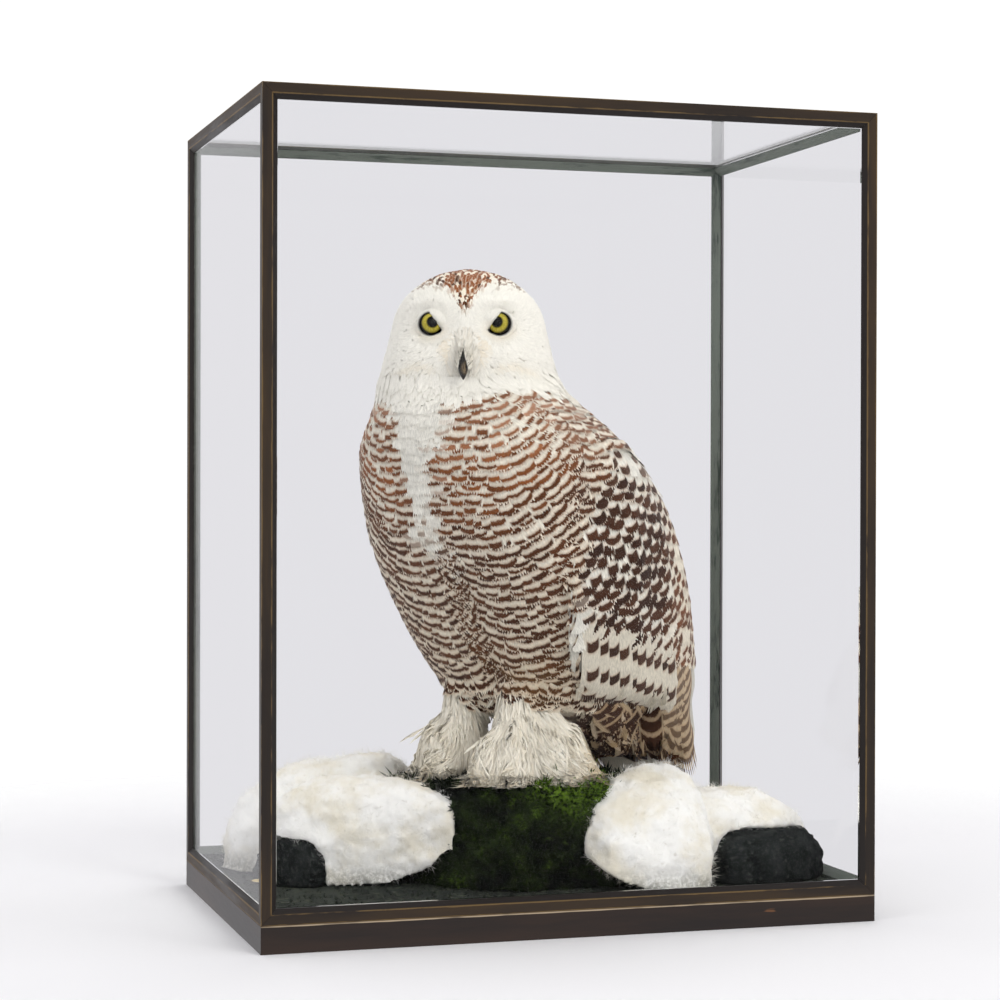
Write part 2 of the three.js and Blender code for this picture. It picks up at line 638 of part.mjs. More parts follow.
// The left foot's toes, each with where its fringe ends and where its claw lies.
const TOES = [
  { name: 'inner', tip: [66, 30], width: 21, height: 73 },
  { name: 'middle', tip: [50, 68], width: 24, height: 76 },
  { name: 'outer', tip: [-40, 116], width: 31, height: 87 },
  { name: 'hind', tip: [-46, 16], width: 18, height: 56 },
];
const ANKLE = [2, STANCE];
const LEG_TOP_RADIUS = 19;
const LEG_FOOT_RADIUS = 37;       // of the leg's feathering at the ground
const LEG_HEIGHT = 104;           // up into the belly
const LEG_FOOT = 46;              // height of the cut between leg and foot
const CLAW_LENGTH = 24;
const CLAW_RADIUS = 4.2;
const CLAW_BURIED = 0.78;         // share of its length that lies under the feathers
const CLAW_LEVEL = 13.5;          // height of its root
const CLAW_CURL = 58;             // how far it curls down, degrees
const CLAW_REACH = 1.1;           // how far the curl runs out, as a share of its length
const CLAW_DROP = 1.05;           // how far the curl drops, as a share of its length
const CLAW_TAPER = 0.86;

function clawGeometry({ tip }, grow = 0) {
  const reach = vec(tip[0] - ANKLE[0], tip[1] - ANKLE[1], 0);
  const along = reach.clone().normalize();
  const side = vec(-along.y, along.x, 0);
  const start = vec(tip[0], tip[1], 0).addScaledVector(along, -CLAW_LENGTH * CLAW_BURIED);
  const rings = [];
  const steps = 4;
  const sides = 6;
  for (let k = 0; k <= steps; k += 1) {
    const t = k / steps;
    const bend = t * radians(CLAW_CURL);
    const radius = CLAW_RADIUS * (1 - CLAW_TAPER * t ** 1.3) + grow;
    const middle = start.clone().addScaledVector(along, Math.sin(bend) * CLAW_LENGTH * CLAW_REACH);
    middle.z = CLAW_LEVEL - (1 - Math.cos(bend)) * CLAW_LENGTH * CLAW_DROP;
    const lift = vec(0, 0, Math.cos(bend)).addScaledVector(along, Math.sin(bend));
    rings.push(Array.from({ length: sides }, (_, i) => {
      const angle = (i / sides) * 2 * Math.PI;
      return middle.clone().addScaledVector(side, Math.cos(angle) * radius)
        .addScaledVector(lift, Math.sin(angle) * radius);
    }));
  }
  return loft(rings);
}

function footAndLeg() {
  const cone = new THREE.CylinderGeometry(LEG_TOP_RADIUS, LEG_FOOT_RADIUS, LEG_HEIGHT, 12)
    .rotateX(Math.PI / 2).translate(ANKLE[0], ANKLE[1], LEG_HEIGHT / 2);
  let foot = solid(cone);
  TOES.forEach(({ tip, width, height }) => {
    foot = foot.add(solid(toeGeometry(ANKLE, tip, width, height)));
  });
  const whole = foot.subtract(slab(-BEYOND, 0));
  return {
    foot: whole.intersect(slab(-BEYOND, LEG_FOOT - GAP / 2)),
    leg: whole.intersect(slab(LEG_FOOT + GAP / 2, BEYOND)),
  };
}

const BILL_TAPER_WIDE = 0.92;
const BILL_HOLD = 3.5;            // the higher, the longer the bill keeps its width towards the tip
const BILL_TAPER_DEEP = 0.9;

// The bill and its parts lie in the head's own frame: x ahead of the head's axis, y to its left.
function billGeometry(bill, grow = 0) {
  const curve = new THREE.CatmullRomCurve3(bill.path.map(([x, z]) => vec(x, 0, z)));
  const steps = 6;
  const sides = 8;
  const rings = [];
  for (let k = 0; k <= steps; k += 1) {
    const t = k / steps;
    const centre = curve.getPoint(t);
    const ahead = curve.getTangent(t);
    const lift = vec(-ahead.z, 0, ahead.x);
    const wide = bill.wide * (1 - BILL_TAPER_WIDE * t ** BILL_HOLD) + grow;
    const deep = bill.deep * (1 - BILL_TAPER_DEEP * t ** 1.5) + grow;
    rings.push(Array.from({ length: sides }, (_, i) => {
      const angle = (i / sides) * 2 * Math.PI;
      const y = Math.sin(angle) * wide;
      return centre.clone().addScaledVector(lift, Math.cos(angle) * deep).add(vec(0, y, 0));
    }));
  }
  return loft(rings);
}

const BILL_UPPER = {
  wide: 7.2,
  deep: 9.5,
  path: [[58, 430], [71, 429.5], [80, 420], [82, 409], [79, 401.5]],
};
const EYE_WINDOW_FRONT = 0.97;    // radius of the opening before an eye, as a share of the eye's
const EYE_WINDOW_REAR = 0.86;
const EYE_WINDOW_DEPTH = 40;
const EYE_WINDOW_AHEAD = 22;      // how far its middle lies ahead of the eye's
const BILL_LOWER = { wide: 5, deep: 3.4, path: [[58, 414], [67, 413], [74, 410.5], [77.5, 407]] };

function headParts(whole) {
  const frame = (geometry) => geometry.rotateZ(radians(HEAD_TURN)).translate(HEAD_CENTRE, 0, 0);
  const eye = (side, grow) => frame(ball(EYE_RADIUS + grow, EYE_FORWARD, side * EYE_SPREAD, EYE_LEVEL));
  const bills = [BILL_UPPER, BILL_LOWER].map((bill) => solid(frame(billGeometry(bill, ROUND_GAP))));
  let head = whole.subtract(bills[0]).subtract(bills[1]);
  [-1, 1].forEach((side) => {
    const window = new THREE.CylinderGeometry(EYE_RADIUS * EYE_WINDOW_FRONT, EYE_RADIUS * EYE_WINDOW_REAR,
      EYE_WINDOW_DEPTH, 12).rotateZ(-Math.PI / 2);
    window.translate(EYE_FORWARD + EYE_WINDOW_AHEAD, side * EYE_SPREAD, EYE_LEVEL);
    head = head.subtract(solid(eye(side, ROUND_GAP)).add(solid(frame(window))));
  });
  const upper = solid(frame(billGeometry(BILL_UPPER)));
  const lower = solid(frame(billGeometry(BILL_LOWER))).subtract(bills[0]);
  return { head, upper, lower, eyes: { left: eye(1, 0), right: eye(-1, 0) } };
}

const HEAD_CUT = 401;             // height of the cut between head and neck
const NECK_CUT = 362;             // height of the cut between neck and trunk

function owl() {
  const group = new THREE.Group();
  group.position.set(OWL_X, OWL_Y, OWL_Z);
  group.rotation.z = radians(OWL_HEADING);

  const cut = (low, high) => slab(low + GAP / 2, high - GAP / 2);
  const body = bodySolid();
  const room = bodySolid(GAP);
  const { head, upper, lower, eyes } = headParts(body.intersect(cut(HEAD_CUT, BEYOND)));
  const neck = body.intersect(cut(NECK_CUT, HEAD_CUT));
  const trunk = body.intersect(cut(-BEYOND, NECK_CUT));

  const wings = {
    left: geometryOf(solid(wingGeometry()).subtract(room)),
    right: geometryOf(solid(wingGeometry({ right: true })).subtract(room)),
  };
  const wingRoom = solid(wingGeometry({ grow: ROUND_GAP }))
    .add(solid(wingGeometry({ grow: ROUND_GAP, right: true })));
  const tail = solid(tailGeometry()).subtract(wingRoom).subtract(room);
  const { foot, leg } = footAndLeg();
  const legs = {
    left: geometryOf(leg.subtract(room)),
    right: geometryOf(solid(mirrored(geometryOf(leg))).subtract(room)),
  };

  group.add(part('owl_head', geometryOf(head), 0xefece2, 0.9));
  group.add(part('owl_neck', geometryOf(neck), 0xefece2, 0.9));
  group.add(part('owl_trunk', geometryOf(trunk), 0xd9cdb9, 0.9));
  group.add(part('owl_tail', geometryOf(tail), 0xb8a98d, 0.85));
  group.add(part('owl_bill_upper', geometryOf(upper), 0x1b1a19, 0.35));
  group.add(part('owl_bill_lower', geometryOf(lower), 0x1b1a19, 0.35));
  ['left', 'right'].forEach((side) => {
    group.add(part(`owl_wing_${side}`, wings[side], 0xcdbfa8, 0.85));
    group.add(part(`owl_eye_${side}`, eyes[side], 0xa79a1e, 0.08));
    group.add(part(`owl_leg_${side}`, legs[side], 0xe7dfc8, 0.9));
    const flip = (geometry) => (side === 'left' ? geometry : mirrored(geometry));
    let feathers = foot;
    TOES.forEach((toe) => {
      feathers = feathers.subtract(solid(clawGeometry(toe, GROUND_GAP)));
      group.add(part(`owl_claw_${side}_${toe.name}`, flip(clawGeometry(toe)), 0x17130f, 0.4));
    });
    group.add(part(`owl_foot_${side}`, flip(geometryOf(feathers)), 0xe7dfc8, 0.9));
  });
  return group;
}

// ---- Assembly ------------------------------------------------------------------------------

const model = new THREE.Group();
model.add(...casePlinth(), ...caseFrame(), ...casePanes(), caseLabel(), ...groundwork(), owl());

export default model;
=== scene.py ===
import itertools
import math

import bmesh
import bpy
import numpy as np
from mathutils import Matrix, Vector, noise
from mathutils.bvhtree import BVHTree


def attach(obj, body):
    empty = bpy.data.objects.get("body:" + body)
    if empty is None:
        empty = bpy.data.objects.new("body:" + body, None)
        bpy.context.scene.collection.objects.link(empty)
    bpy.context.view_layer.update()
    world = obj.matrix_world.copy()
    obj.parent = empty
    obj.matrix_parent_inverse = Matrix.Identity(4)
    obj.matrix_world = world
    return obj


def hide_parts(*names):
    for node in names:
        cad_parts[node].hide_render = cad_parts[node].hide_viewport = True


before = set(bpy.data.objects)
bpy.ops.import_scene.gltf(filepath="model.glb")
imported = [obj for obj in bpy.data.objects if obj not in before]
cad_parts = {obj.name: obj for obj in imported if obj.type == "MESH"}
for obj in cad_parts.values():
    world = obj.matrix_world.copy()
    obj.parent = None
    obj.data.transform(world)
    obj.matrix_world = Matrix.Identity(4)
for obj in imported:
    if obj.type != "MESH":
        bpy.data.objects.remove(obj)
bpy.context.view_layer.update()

# ---- Places and sizes, in metres ------------------------------------------------------------

OWL_PLACE = np.array([-0.037, -0.030, 0.132])     # on the perch, between the ankles
OWL_HEADING = math.radians(210)                   # the way the breast faces, from +X
HEAD_PLACE = np.array([0.034, 0.0, 0.0])          # the head's axis, ahead of the ankles
HEAD_TURN = math.radians(40)
EYE_PLACE = np.array([0.0495, 0.0347, 0.457])     # the left eye in the head's own frame
EYE_RADIUS = 0.0126

FLESH = [
    "owl_head", "owl_neck", "owl_trunk", "owl_tail", "owl_wing_left", "owl_wing_right",
    "owl_leg_left", "owl_leg_right", "owl_foot_left", "owl_foot_right",
]
SIDES = ((1, "left"), (-1, "right"))
BILLS = ["owl_bill_upper", "owl_bill_lower"]
CLAWS = sorted(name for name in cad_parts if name.startswith("owl_claw_"))

rng = np.random.default_rng(20)


def linked(name, data):
    """A new object in the scene."""
    made = bpy.data.objects.new(name, data)
    bpy.context.scene.collection.objects.link(made)
    return made


def soften(mesh):
    mesh.polygons.foreach_set("use_smooth", np.ones(len(mesh.polygons), bool))


def paint(red, green, blue):
    """A colour given as on a screen, as the linear numbers that shaders use."""
    screen = np.array([red, green, blue]) / 255
    return np.where(screen <= 0.04045, screen / 12.92, ((screen + 0.055) / 1.055) ** 2.4)


WHITE = paint(233, 230, 219)
SHADED_WHITE = paint(226, 222, 208)
CREAM = paint(226, 213, 188)
STRAW = paint(214, 190, 146)
TAN = paint(186, 152, 104)
GOLD_TAN = paint(170, 124, 70)
RUST = paint(150, 86, 42)
CHESTNUT = paint(92, 54, 30)
UMBER = paint(48, 28, 18)


def smooth(low, high, value):
    t = np.clip((value - low) / (high - low), 0, 1)
    return t * t * (3 - 2 * t)


def mixed(first, second, share):
    share = np.asarray(share)[..., None]
    return first * (1 - share) + second * share


def unit(vectors):
    return vectors / np.maximum(np.linalg.norm(vectors, axis=-1, keepdims=True), 1e-12)


def turned(points, angle):
    c, s = math.cos(angle), math.sin(angle)
    x, y, z = points[..., 0], points[..., 1], points[..., 2]
    return np.stack([x * c - y * s, x * s + y * c, z], -1)


# Places and ways in the owl's own frame, x ahead, y to its left and z up, and in its head's. Plain
# names are in metres, and names with mm in millimetres.

def from_owl(points):
    return turned(np.asarray(points, float), OWL_HEADING) + OWL_PLACE


def to_owl(points):
    return turned(np.asarray(points, float) - OWL_PLACE, -OWL_HEADING)


def from_head(points):
    return from_owl(turned(np.asarray(points, float), HEAD_TURN) + HEAD_PLACE)


def to_head(points):
    return turned(to_owl(points) - HEAD_PLACE, -HEAD_TURN)


def owl_mm(points):
    return to_owl(points) * 1000


def head_mm(points):
    return to_head(points) * 1000


def owl_way(vectors):
    return turned(np.asarray(vectors, float), OWL_HEADING)


def head_way(vectors):
    return turned(np.asarray(vectors, float), OWL_HEADING + HEAD_TURN)


# ---- Camera ---------------------------------------------------------------------------------

CAMERA_PLACE = (-0.7437, -2.3667, 0.4333)
CAMERA_YAW = math.radians(17.033)
CAMERA_PITCH = math.radians(-0.407)
CAMERA_ROLL = math.radians(0.146)
CAMERA_LENS = 86.46


def add_camera():
    data = bpy.data.cameras.new("camera")
    data.lens, data.sensor_width = CAMERA_LENS, 36
    camera = linked("camera", data)
    upright = Matrix.Rotation(-CAMERA_YAW, 4, "Z") @ Matrix.Rotation(math.pi / 2 + CAMERA_PITCH, 4, "X")
    camera.matrix_world = Matrix.Translation(CAMERA_PLACE) @ upright @ Matrix.Rotation(CAMERA_ROLL, 4, "Z")
    bpy.context.scene.camera = camera


# ---- Tools for node trees -------------------------------------------------------------------

def node(tree, kind, inputs=None, **settings):
    """One node with its settings, and with each input given a value or a link."""
    made = tree.nodes.new(kind)
    for key, value in settings.items():
        setattr(made, key, value)
    for key, value in (inputs or {}).items():
        if isinstance(value, bpy.types.NodeSocket):
            tree.links.new(value, made.inputs[key])
        else:
            made.inputs[key].default_value = value
    return made


def sums(tree, operation, first, second=0.0):
    return node(tree, "ShaderNodeMath", {0: first, 1: second, 2: 0.0}, operation=operation).outputs[0]


def plus(tree, first, second):
    return sums(tree, "ADD", first, second)


def minus(tree, first, second):
    return sums(tree, "SUBTRACT", first, second)


def times(tree, first, second):
    return sums(tree, "MULTIPLY", first, second)


def least(tree, first, second):
    return sums(tree, "MINIMUM", first, second)


def most(tree, first, second):
    return sums(tree, "MAXIMUM", first, second)


def noise_in(tree, place, scale, detail, rough=0.5):
    """The strength of a cloudy noise at a place."""
    inputs = {"Vector": place, "Scale": scale, "Detail": detail, "Roughness": rough}
    return node(tree, "ShaderNodeTexNoise", inputs).outputs["Fac"]


def parts_of(tree, vector):
    return node(tree, "ShaderNodeSeparateXYZ", {0: vector}).outputs


def object_place(tree):
    return node(tree, "ShaderNodeTexCoord").outputs["Object"]


def stretched(tree, place, scale):
    return node(tree, "ShaderNodeMapping", {"Vector": place, "Scale": scale}).outputs[0]


def distance_to(tree, place, point):
    made = node(tree, "ShaderNodeVectorMath", {0: place, 1: tuple(point)}, operation="DISTANCE")
    return made.outputs["Value"]


def mixed_shaders(tree, share, first, second):
    made = node(tree, "ShaderNodeMixShader", {0: share})
    tree.links.new(first.outputs[0], made.inputs[1])
    tree.links.new(second.outputs[0], made.inputs[2])
    return made


def finish_skin(tree, skin, colour, height=None, strength=0.5, distance=0.001):
    """Gives the main shader its colour, and a relief where a height is given."""
    tree.links.new(colour, skin.inputs["Base Color"])
    if height is not None:
        bump = node(tree, "ShaderNodeBump", {"Strength": strength, "Distance": distance, "Height": height})
        tree.links.new(bump.outputs[0], skin.inputs["Normal"])


def blend(tree, share, first, second, mode="MIX"):
    made = tree.nodes.new("ShaderNodeMix")
    made.data_type = "RGBA"
    made.blend_type = mode
    for index, value in ((0, share), (6, first), (7, second)):
        if isinstance(value, bpy.types.NodeSocket):
            tree.links.new(value, made.inputs[index])
        elif index == 0:
            made.inputs[index].default_value = value
        else:
            made.inputs[index].default_value = (*value, 1)
    return made.outputs[2]


def ramp(tree, value, low, high):
    """0 under low and 1 over high, with a soft step between."""
    made = node(tree, "ShaderNodeMapRange", {0: value, 1: low, 2: high}, interpolation_type="SMOOTHSTEP")
    return made.outputs[0]


# ---- Lamps, room and floor ------------------------------------------------------------------

ROOM_TONE = (0.785, 0.775, 0.803)       # what is seen round and through the case
FLOOR_HALF = 6                          # metres from the middle to each edge


def add_lamp(name, place, target, size, power, colour=(1, 1, 1)):
    data = bpy.data.lights.new(name, "AREA")
    data.shape = "DISK"
    data.size = size
    data.energy = power
    data.color = colour
    lamp = linked(name, data)
    lamp.location = place
    lamp.rotation_euler = (Vector(target) - Vector(place)).to_track_quat("-Z", "Y").to_euler()
    lamp.visible_camera = False
    lamp.visible_glossy = False


def add_stage():
    world = bpy.data.worlds.new("studio")
    bpy.context.scene.world = world
    world.use_nodes = True
    tree = world.node_tree
    seen = tree.nodes["Background"]
    seen.inputs["Color"].default_value = (1, 1, 1, 1)
    seen.inputs["Strength"].default_value = 1.05
    room = node(tree, "ShaderNodeBackground", {"Color": (*ROOM_TONE, 1), "Strength": 1.0})
    mix = mixed_shaders(tree, node(tree, "ShaderNodeLightPath").outputs["Is Camera Ray"], room, seen)
    tree.links.new(mix.outputs[0], tree.nodes["World Output"].inputs["Surface"])
    add_lamp("key", (0.9, -2.3, 2.1), (0, 0, 0.4), 1.3, 18, (1, 0.985, 0.96))
    add_lamp("fill", (-2.2, -1.2, 1.4), (0, 0, 0.4), 1.8, 6, (0.96, 0.98, 1))
    add_lamp("top", (0.2, 0.6, 2.6), (0, 0, 0.3), 1.5, 8)

    grid = bmesh.new()
    bmesh.ops.create_grid(grid, x_segments=2, y_segments=2, size=FLOOR_HALF)
    mesh = bpy.data.meshes.new("floor")
    grid.to_mesh(mesh)
    grid.free()
    floor = linked("floor", mesh)
    material, tree, skin = new_material("floor", 0.9, 0.0)
    skin.inputs["Base Color"].default_value = (0.95, 0.95, 0.95, 1)
    away = node(tree, "ShaderNodeVectorMath", {0: object_place(tree)}, operation="LENGTH")
    far = ramp(tree, away.outputs["Value"], 0.55, 1.5)
    near = mixed_shaders(tree, far, skin, node(tree, "ShaderNodeBsdfTransparent"))
    glow = node(tree, "ShaderNodeEmission", {"Color": (*ROOM_TONE, 1), "Strength": 1.0})
    seen = mixed_shaders(tree, node(tree, "ShaderNodeLightPath").outputs["Is Camera Ray"], glow, near)
    tree.links.new(seen.outputs[0], tree.nodes["Material Output"].inputs["Surface"])
    mesh.materials.append(material)
    bpy.context.scene.view_settings.view_transform = "Standard"


# ---- Surfaces -------------------------------------------------------------------------------

class Surface:
    """A smooth surface that feathers lie on."""

    def __init__(self, points, faces):
        self.points = points
        self.faces = faces
        corners = points[faces]
        flat = np.cross(corners[:, 1] - corners[:, 0], corners[:, 2] - corners[:, 0])
        normals = np.zeros_like(points)
        for corner in range(3):
            np.add.at(normals, faces[:, corner], flat)
        self.normals = unit(normals)
        self.tree = BVHTree.FromPolygons(points.tolist(), faces.tolist())

    def _answer(self, places, indices):
        places = np.array(places)
        face = self.faces[np.array(indices)]
        a, b, c = (self.points[face[:, k]] for k in range(3))
        whole = np.linalg.norm(np.cross(b - a, c - a), axis=1) + 1e-15
        share_a = np.linalg.norm(np.cross(b - places, c - places), axis=1) / whole
        share_b = np.linalg.norm(np.cross(c - places, a - places), axis=1) / whole
        share_c = np.clip(1 - share_a - share_b, 0, 1)
        normal = sum(self.normals[face[:, k]] * share[:, None]
                     for k, share in enumerate((share_a, share_b, share_c)))
        return places, unit(normal)

    def nearest(self, points):
        found = [self.tree.find_nearest(point) for point in points.tolist()]
        return self._answer([hit[0][:] for hit in found], [hit[2] for hit in found])

    def cast(self, starts, ways):
        """Where rays meet the surface: places, normals and which rays hit, in the order of the hits."""
        found = [self.tree.ray_cast(start, way) for start, way in zip(starts.tolist(), ways.tolist())]
        hit = np.array([ray[0] is not None for ray in found])
        kept = [ray for ray in found if ray[0] is not None]
        if not kept:
            return np.zeros((0, 3)), np.zeros((0, 3)), hit
        places, normals = self._answer([ray[0][:] for ray in kept], [ray[2] for ray in kept])
        return places, normals, hit


def surface_with(surface, points, faces):
    """The surface together with another mesh."""
    return Surface(np.concatenate([surface.points, points]),
                   np.concatenate([surface.faces, faces + len(surface.points)]))


def mesh_of(name, points, faces):
    mesh = bpy.data.meshes.new(name)
    mesh.from_pydata(np.asarray(points).tolist(), [], faces if isinstance(faces, list) else faces.tolist())
    return mesh


def merged_copy(name, nodes):
    """A copy of some of the frame's nodes as one mesh with its doubles merged."""
    work = bmesh.new()
    for key in nodes:
        work.from_mesh(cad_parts[key].data)
    bmesh.ops.remove_doubles(work, verts=work.verts, dist=1e-5)
    mesh = bpy.data.meshes.new(name)
    work.to_mesh(mesh)
    work.free()
    return linked(name, mesh)


def finished(piece):
    """Puts the result of a piece's modifiers in its mesh."""
    graph = bpy.context.evaluated_depsgraph_get()
    mesh = bpy.data.meshes.new_from_object(piece.evaluated_get(graph))
    piece.modifiers.clear()
    piece.data = mesh
    return piece


def remeshed(piece, voxel, passes):
    whole = piece.modifiers.new("whole", "REMESH")
    whole.mode = "VOXEL"
    whole.voxel_size = voxel
    soft = piece.modifiers.new("soft", "SMOOTH")
    soft.factor = 0.5
    soft.iterations = passes
    return finished(piece)


def move_points(piece, points):
    piece.data.vertices.foreach_set("co", points.ravel())
    piece.data.update()


def mesh_arrays(mesh):
    mesh.calc_loop_triangles()
    points = np.empty(len(mesh.vertices) * 3)
    mesh.vertices.foreach_get("co", points)
    faces = np.empty(len(mesh.loop_triangles) * 3, int)
    mesh.loop_triangles.foreach_get("vertices", faces)
    return points.reshape(-1, 3), faces.reshape(-1, 3)


def set_values(layer, key, values):
    layer.data.foreach_set(key, np.asarray(values, np.float32).ravel())


def give_marks(mesh, vane, base, mark, bars):
    """The point attributes that the plumage material reads: place on the vane, ground colour, colour
    and strength of the marks, and their first place, spacing, half thickness and half width."""
    for name, values in (("coat_vane", vane), ("coat_base", base)):
        set_values(mesh.attributes.new(name, "FLOAT_VECTOR", "POINT"), "vector", values)
    for name, values in (("coat_mark", mark), ("coat_bars", bars)):
        set_values(mesh.attributes.new(name, "FLOAT_COLOR", "POINT"), "color", values)


class Coat:
    """Collects feathers into one mesh, with the attributes that the plumage material reads."""

    def __init__(self, name):
        self.name = name
        self.points, self.quads, self.triangles = [], [], []
        self.vane, self.base, self.mark, self.bars, self.patch = [], [], [], [], []
        self.count = 0

    def add(self, points, quads, triangles, vane, base, mark, bars, patch):
        """points is (feathers, corners, 3); the faces number the corners of one feather."""
        feathers, corners = points.shape[:2]
        start = self.count + (np.arange(feathers) * corners)[:, None, None]
        self.points.append(points.reshape(-1, 3))
        self.quads.append((start + quads[None]).reshape(-1, 4))
        self.triangles.append((start + triangles[None]).reshape(-1, 3))
        self.vane.append(vane.reshape(-1, 3))
        self.base.append(np.repeat(base, corners, 0))
        self.mark.append(np.repeat(mark, corners, 0))
        self.bars.append(np.repeat(bars, corners, 0))
        self.patch.append(patch.reshape(-1, 2))
        self.count += feathers * corners

    def make(self, material):
        points = np.concatenate(self.points)
        quads = np.concatenate(self.quads)
        triangles = np.concatenate(self.triangles)
        mesh = bpy.data.meshes.new(self.name)
        loops = np.concatenate([quads.ravel(), triangles.ravel()])
        sizes = np.concatenate([np.full(len(quads), 4), np.full(len(triangles), 3)])
        starts = np.concatenate([[0], np.cumsum(sizes)[:-1]])
        mesh.vertices.add(len(points))
        mesh.vertices.foreach_set("co", points.ravel())
        mesh.loops.add(len(loops))
        mesh.loops.foreach_set("vertex_index", loops.astype(np.int32))
        mesh.polygons.add(len(sizes))
        mesh.polygons.foreach_set("loop_start", starts.astype(np.int32))
        mesh.polygons.foreach_set("use_smooth", np.ones(len(sizes), bool))
        mesh.update(calc_edges=True)
        mesh.validate()
        give_marks(mesh, *(np.concatenate(values) for values in (self.vane, self.base, self.mark, self.bars)))
        set_values(mesh.uv_layers.new(name="OFBake"), "uv", np.concatenate(self.patch)[loops])
        mesh.materials.append(material)
        piece = linked(self.name, mesh)
        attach(piece, "root")


def along_surface(ways, normals):
    return unit(ways - normals * (ways * normals).sum(-1, keepdims=True))


PATCH = 0.003            # size of one tuft's patch on the OFBake map
LONG_PATCH = 0.009       # length of a barred feather's patch, which is a third as wide
VANE_PATCH = 0.1         # length of the patch of a flight or tail vane, which has its own place
LAST_ROW = 0.86          # where along a vane its last full row of points lies, before the tip


def spines(surface, roots, ways, length, steps, free, edge):
    """The middle lines of vanes that follow the surface: places, normals and ways at each step."""
    place, normal = surface.nearest(roots)
    middles, normals, aheads = [place], [normal], [along_surface(ways, normal)]
    for before, after in zip(steps, steps[1:]):
        straight = middles[-1] + aheads[-1] * (length * (after - before))[:, None]
        place, normal = surface.nearest(straight)
        past = (normal * normals[-1]).sum(-1) < edge
        place[past], normal[past] = straight[past], normals[-1][past]
        place = place + (straight - place) * (free * after)
        aheads.append(along_surface(aheads[-1] * 0.5 + unit(place - middles[-1]) * 0.5, normal))
        middles.append(place)
        normals.append(normal)
    return middles, normals, aheads


def lay(coat, surface, roots, ways, length, width, base, mark, bars, unwrap, rows=4, strips=6,
        tip=0.3, narrow=0.45, low=0.0004, high=0.003, camber=0.0008, fray=0.1, hug=True, droop=0.0,
        free=0.0, ground=None, loose=0.0015, patch_long=None, edge=0.35):
    """Lays one vane from each root along the surface. Length, width, low and high may differ by vane.
    Length and width are in mm, and so are the bars: (first from the tip, spacing, half thickness,
    reach to each side). Low and high are how far root and tip stand off, in metres. unwrap is each
    vane's place on the OFBake map, and patch_long the length of its patch there. free is how far the
    tips leave the surface to run straight on, and all of a vane does where the surface turns away by
    more than the cosine edge. No vane goes below ground, or up to loose above it."""
    count = len(roots)
    if not count:
        return
    patch_wide, patch_long = (PATCH, PATCH) if patch_long is None else (patch_long / 3, patch_long)
    length, width, low, high = (np.broadcast_to(value, count) for value in
                                (np.asarray(length) / 1000, np.asarray(width) / 1000, low, high))
    steps = np.append(np.linspace(0, LAST_ROW, rows + 1), 1.0)
    middles, normals, aheads = spines(surface, roots, ways, length, steps, free, edge)
    across = np.linspace(-1, 1, strips + 1)
    between = (across[1:] + across[:-1]) / 2
    roll = rng.uniform(-0.2, 0.2, count)
    lift_jitter = rng.uniform(0, 0.12, count) * (high + 0.001)
    lowest = rng.uniform(0, 1, count) ** 1.5
    points, vane, patch = [], [], []
    chance = rng.uniform(0, 1, count)
    for k in range(rows + 2):
        is_tip = k == rows + 1
        columns = between if is_tip else across
        u = np.full((count, len(columns)), steps[k])
        if is_tip:
            u = u + rng.uniform(-fray, fray * 0.6, u.shape)
        swell = narrow + (1 - narrow) * smooth(0, 0.5, steps[k])
        rounded = tip * np.abs(columns) ** 2.4
        side = np.cross(normals[k], aheads[k])
        x = columns[None] * (width[:, None] / 2) * swell
        back = u * length[:, None] * rounded[None] - (u - steps[k]) * length[:, None]
        spot = middles[k][:, None] + side[:, None] * x[..., None] - aheads[k][:, None] * back[..., None]
        if hug:
            flat, facing = surface.nearest(spot.reshape(-1, 3))
            flat, facing = flat.reshape(spot.shape), facing.reshape(spot.shape)
            own = np.broadcast_to(normals[k][:, None], spot.shape)
            past = (facing * own).sum(-1, keepdims=True) < edge
            spot, facing = np.where(past, spot, flat), np.where(past, own, facing)
        else:
            facing = np.broadcast_to(normals[k][:, None], spot.shape)
        rise = low[:, None] + (high - low)[:, None] * u ** 1.3 + lift_jitter[:, None]
        rise = rise + camber * (1 - columns[None] ** 2) * smooth(0, 0.4, u)
        rise = rise + roll[:, None] * columns[None] * (high - low)[:, None] * u * 0.5
        spot = spot + facing * rise[..., None]
        spot[..., 2] -= droop * u ** 2 * length[:, None]
        if ground is not None:
            spot[..., 2] = np.maximum(spot[..., 2], ground + loose * lowest[:, None])
        points.append(spot)
        from_tip = (1 - u) * length[:, None] * (1 - rounded[None]) * 1000
        crosswise = columns[None] * (width[:, None] / 2) * swell * 1000
        random = np.broadcast_to(chance[:, None], u.shape)
        vane.append(np.stack([from_tip, np.broadcast_to(crosswise, u.shape), random], -1))
        spread = np.stack(np.broadcast_arrays(columns[None] * patch_wide / 2, (0.5 - u) * patch_long), -1)
        patch.append(unwrap[:, None] + spread)
    wide = strips + 1
    starts = [k * wide + i for k in range(rows) for i in range(strips)]
    quads = np.array([(a, a + 1, a + wide + 1, a + wide) for a in starts])
    ends = [rows * wide + i for i in range(strips)]
    triangles = np.array([(a, a + 1, a + wide) for a in ends])
    coat.add(np.concatenate(points, 1), quads, triangles, np.concatenate(vane, 1), base, mark, bars,
             np.concatenate(patch, 1))


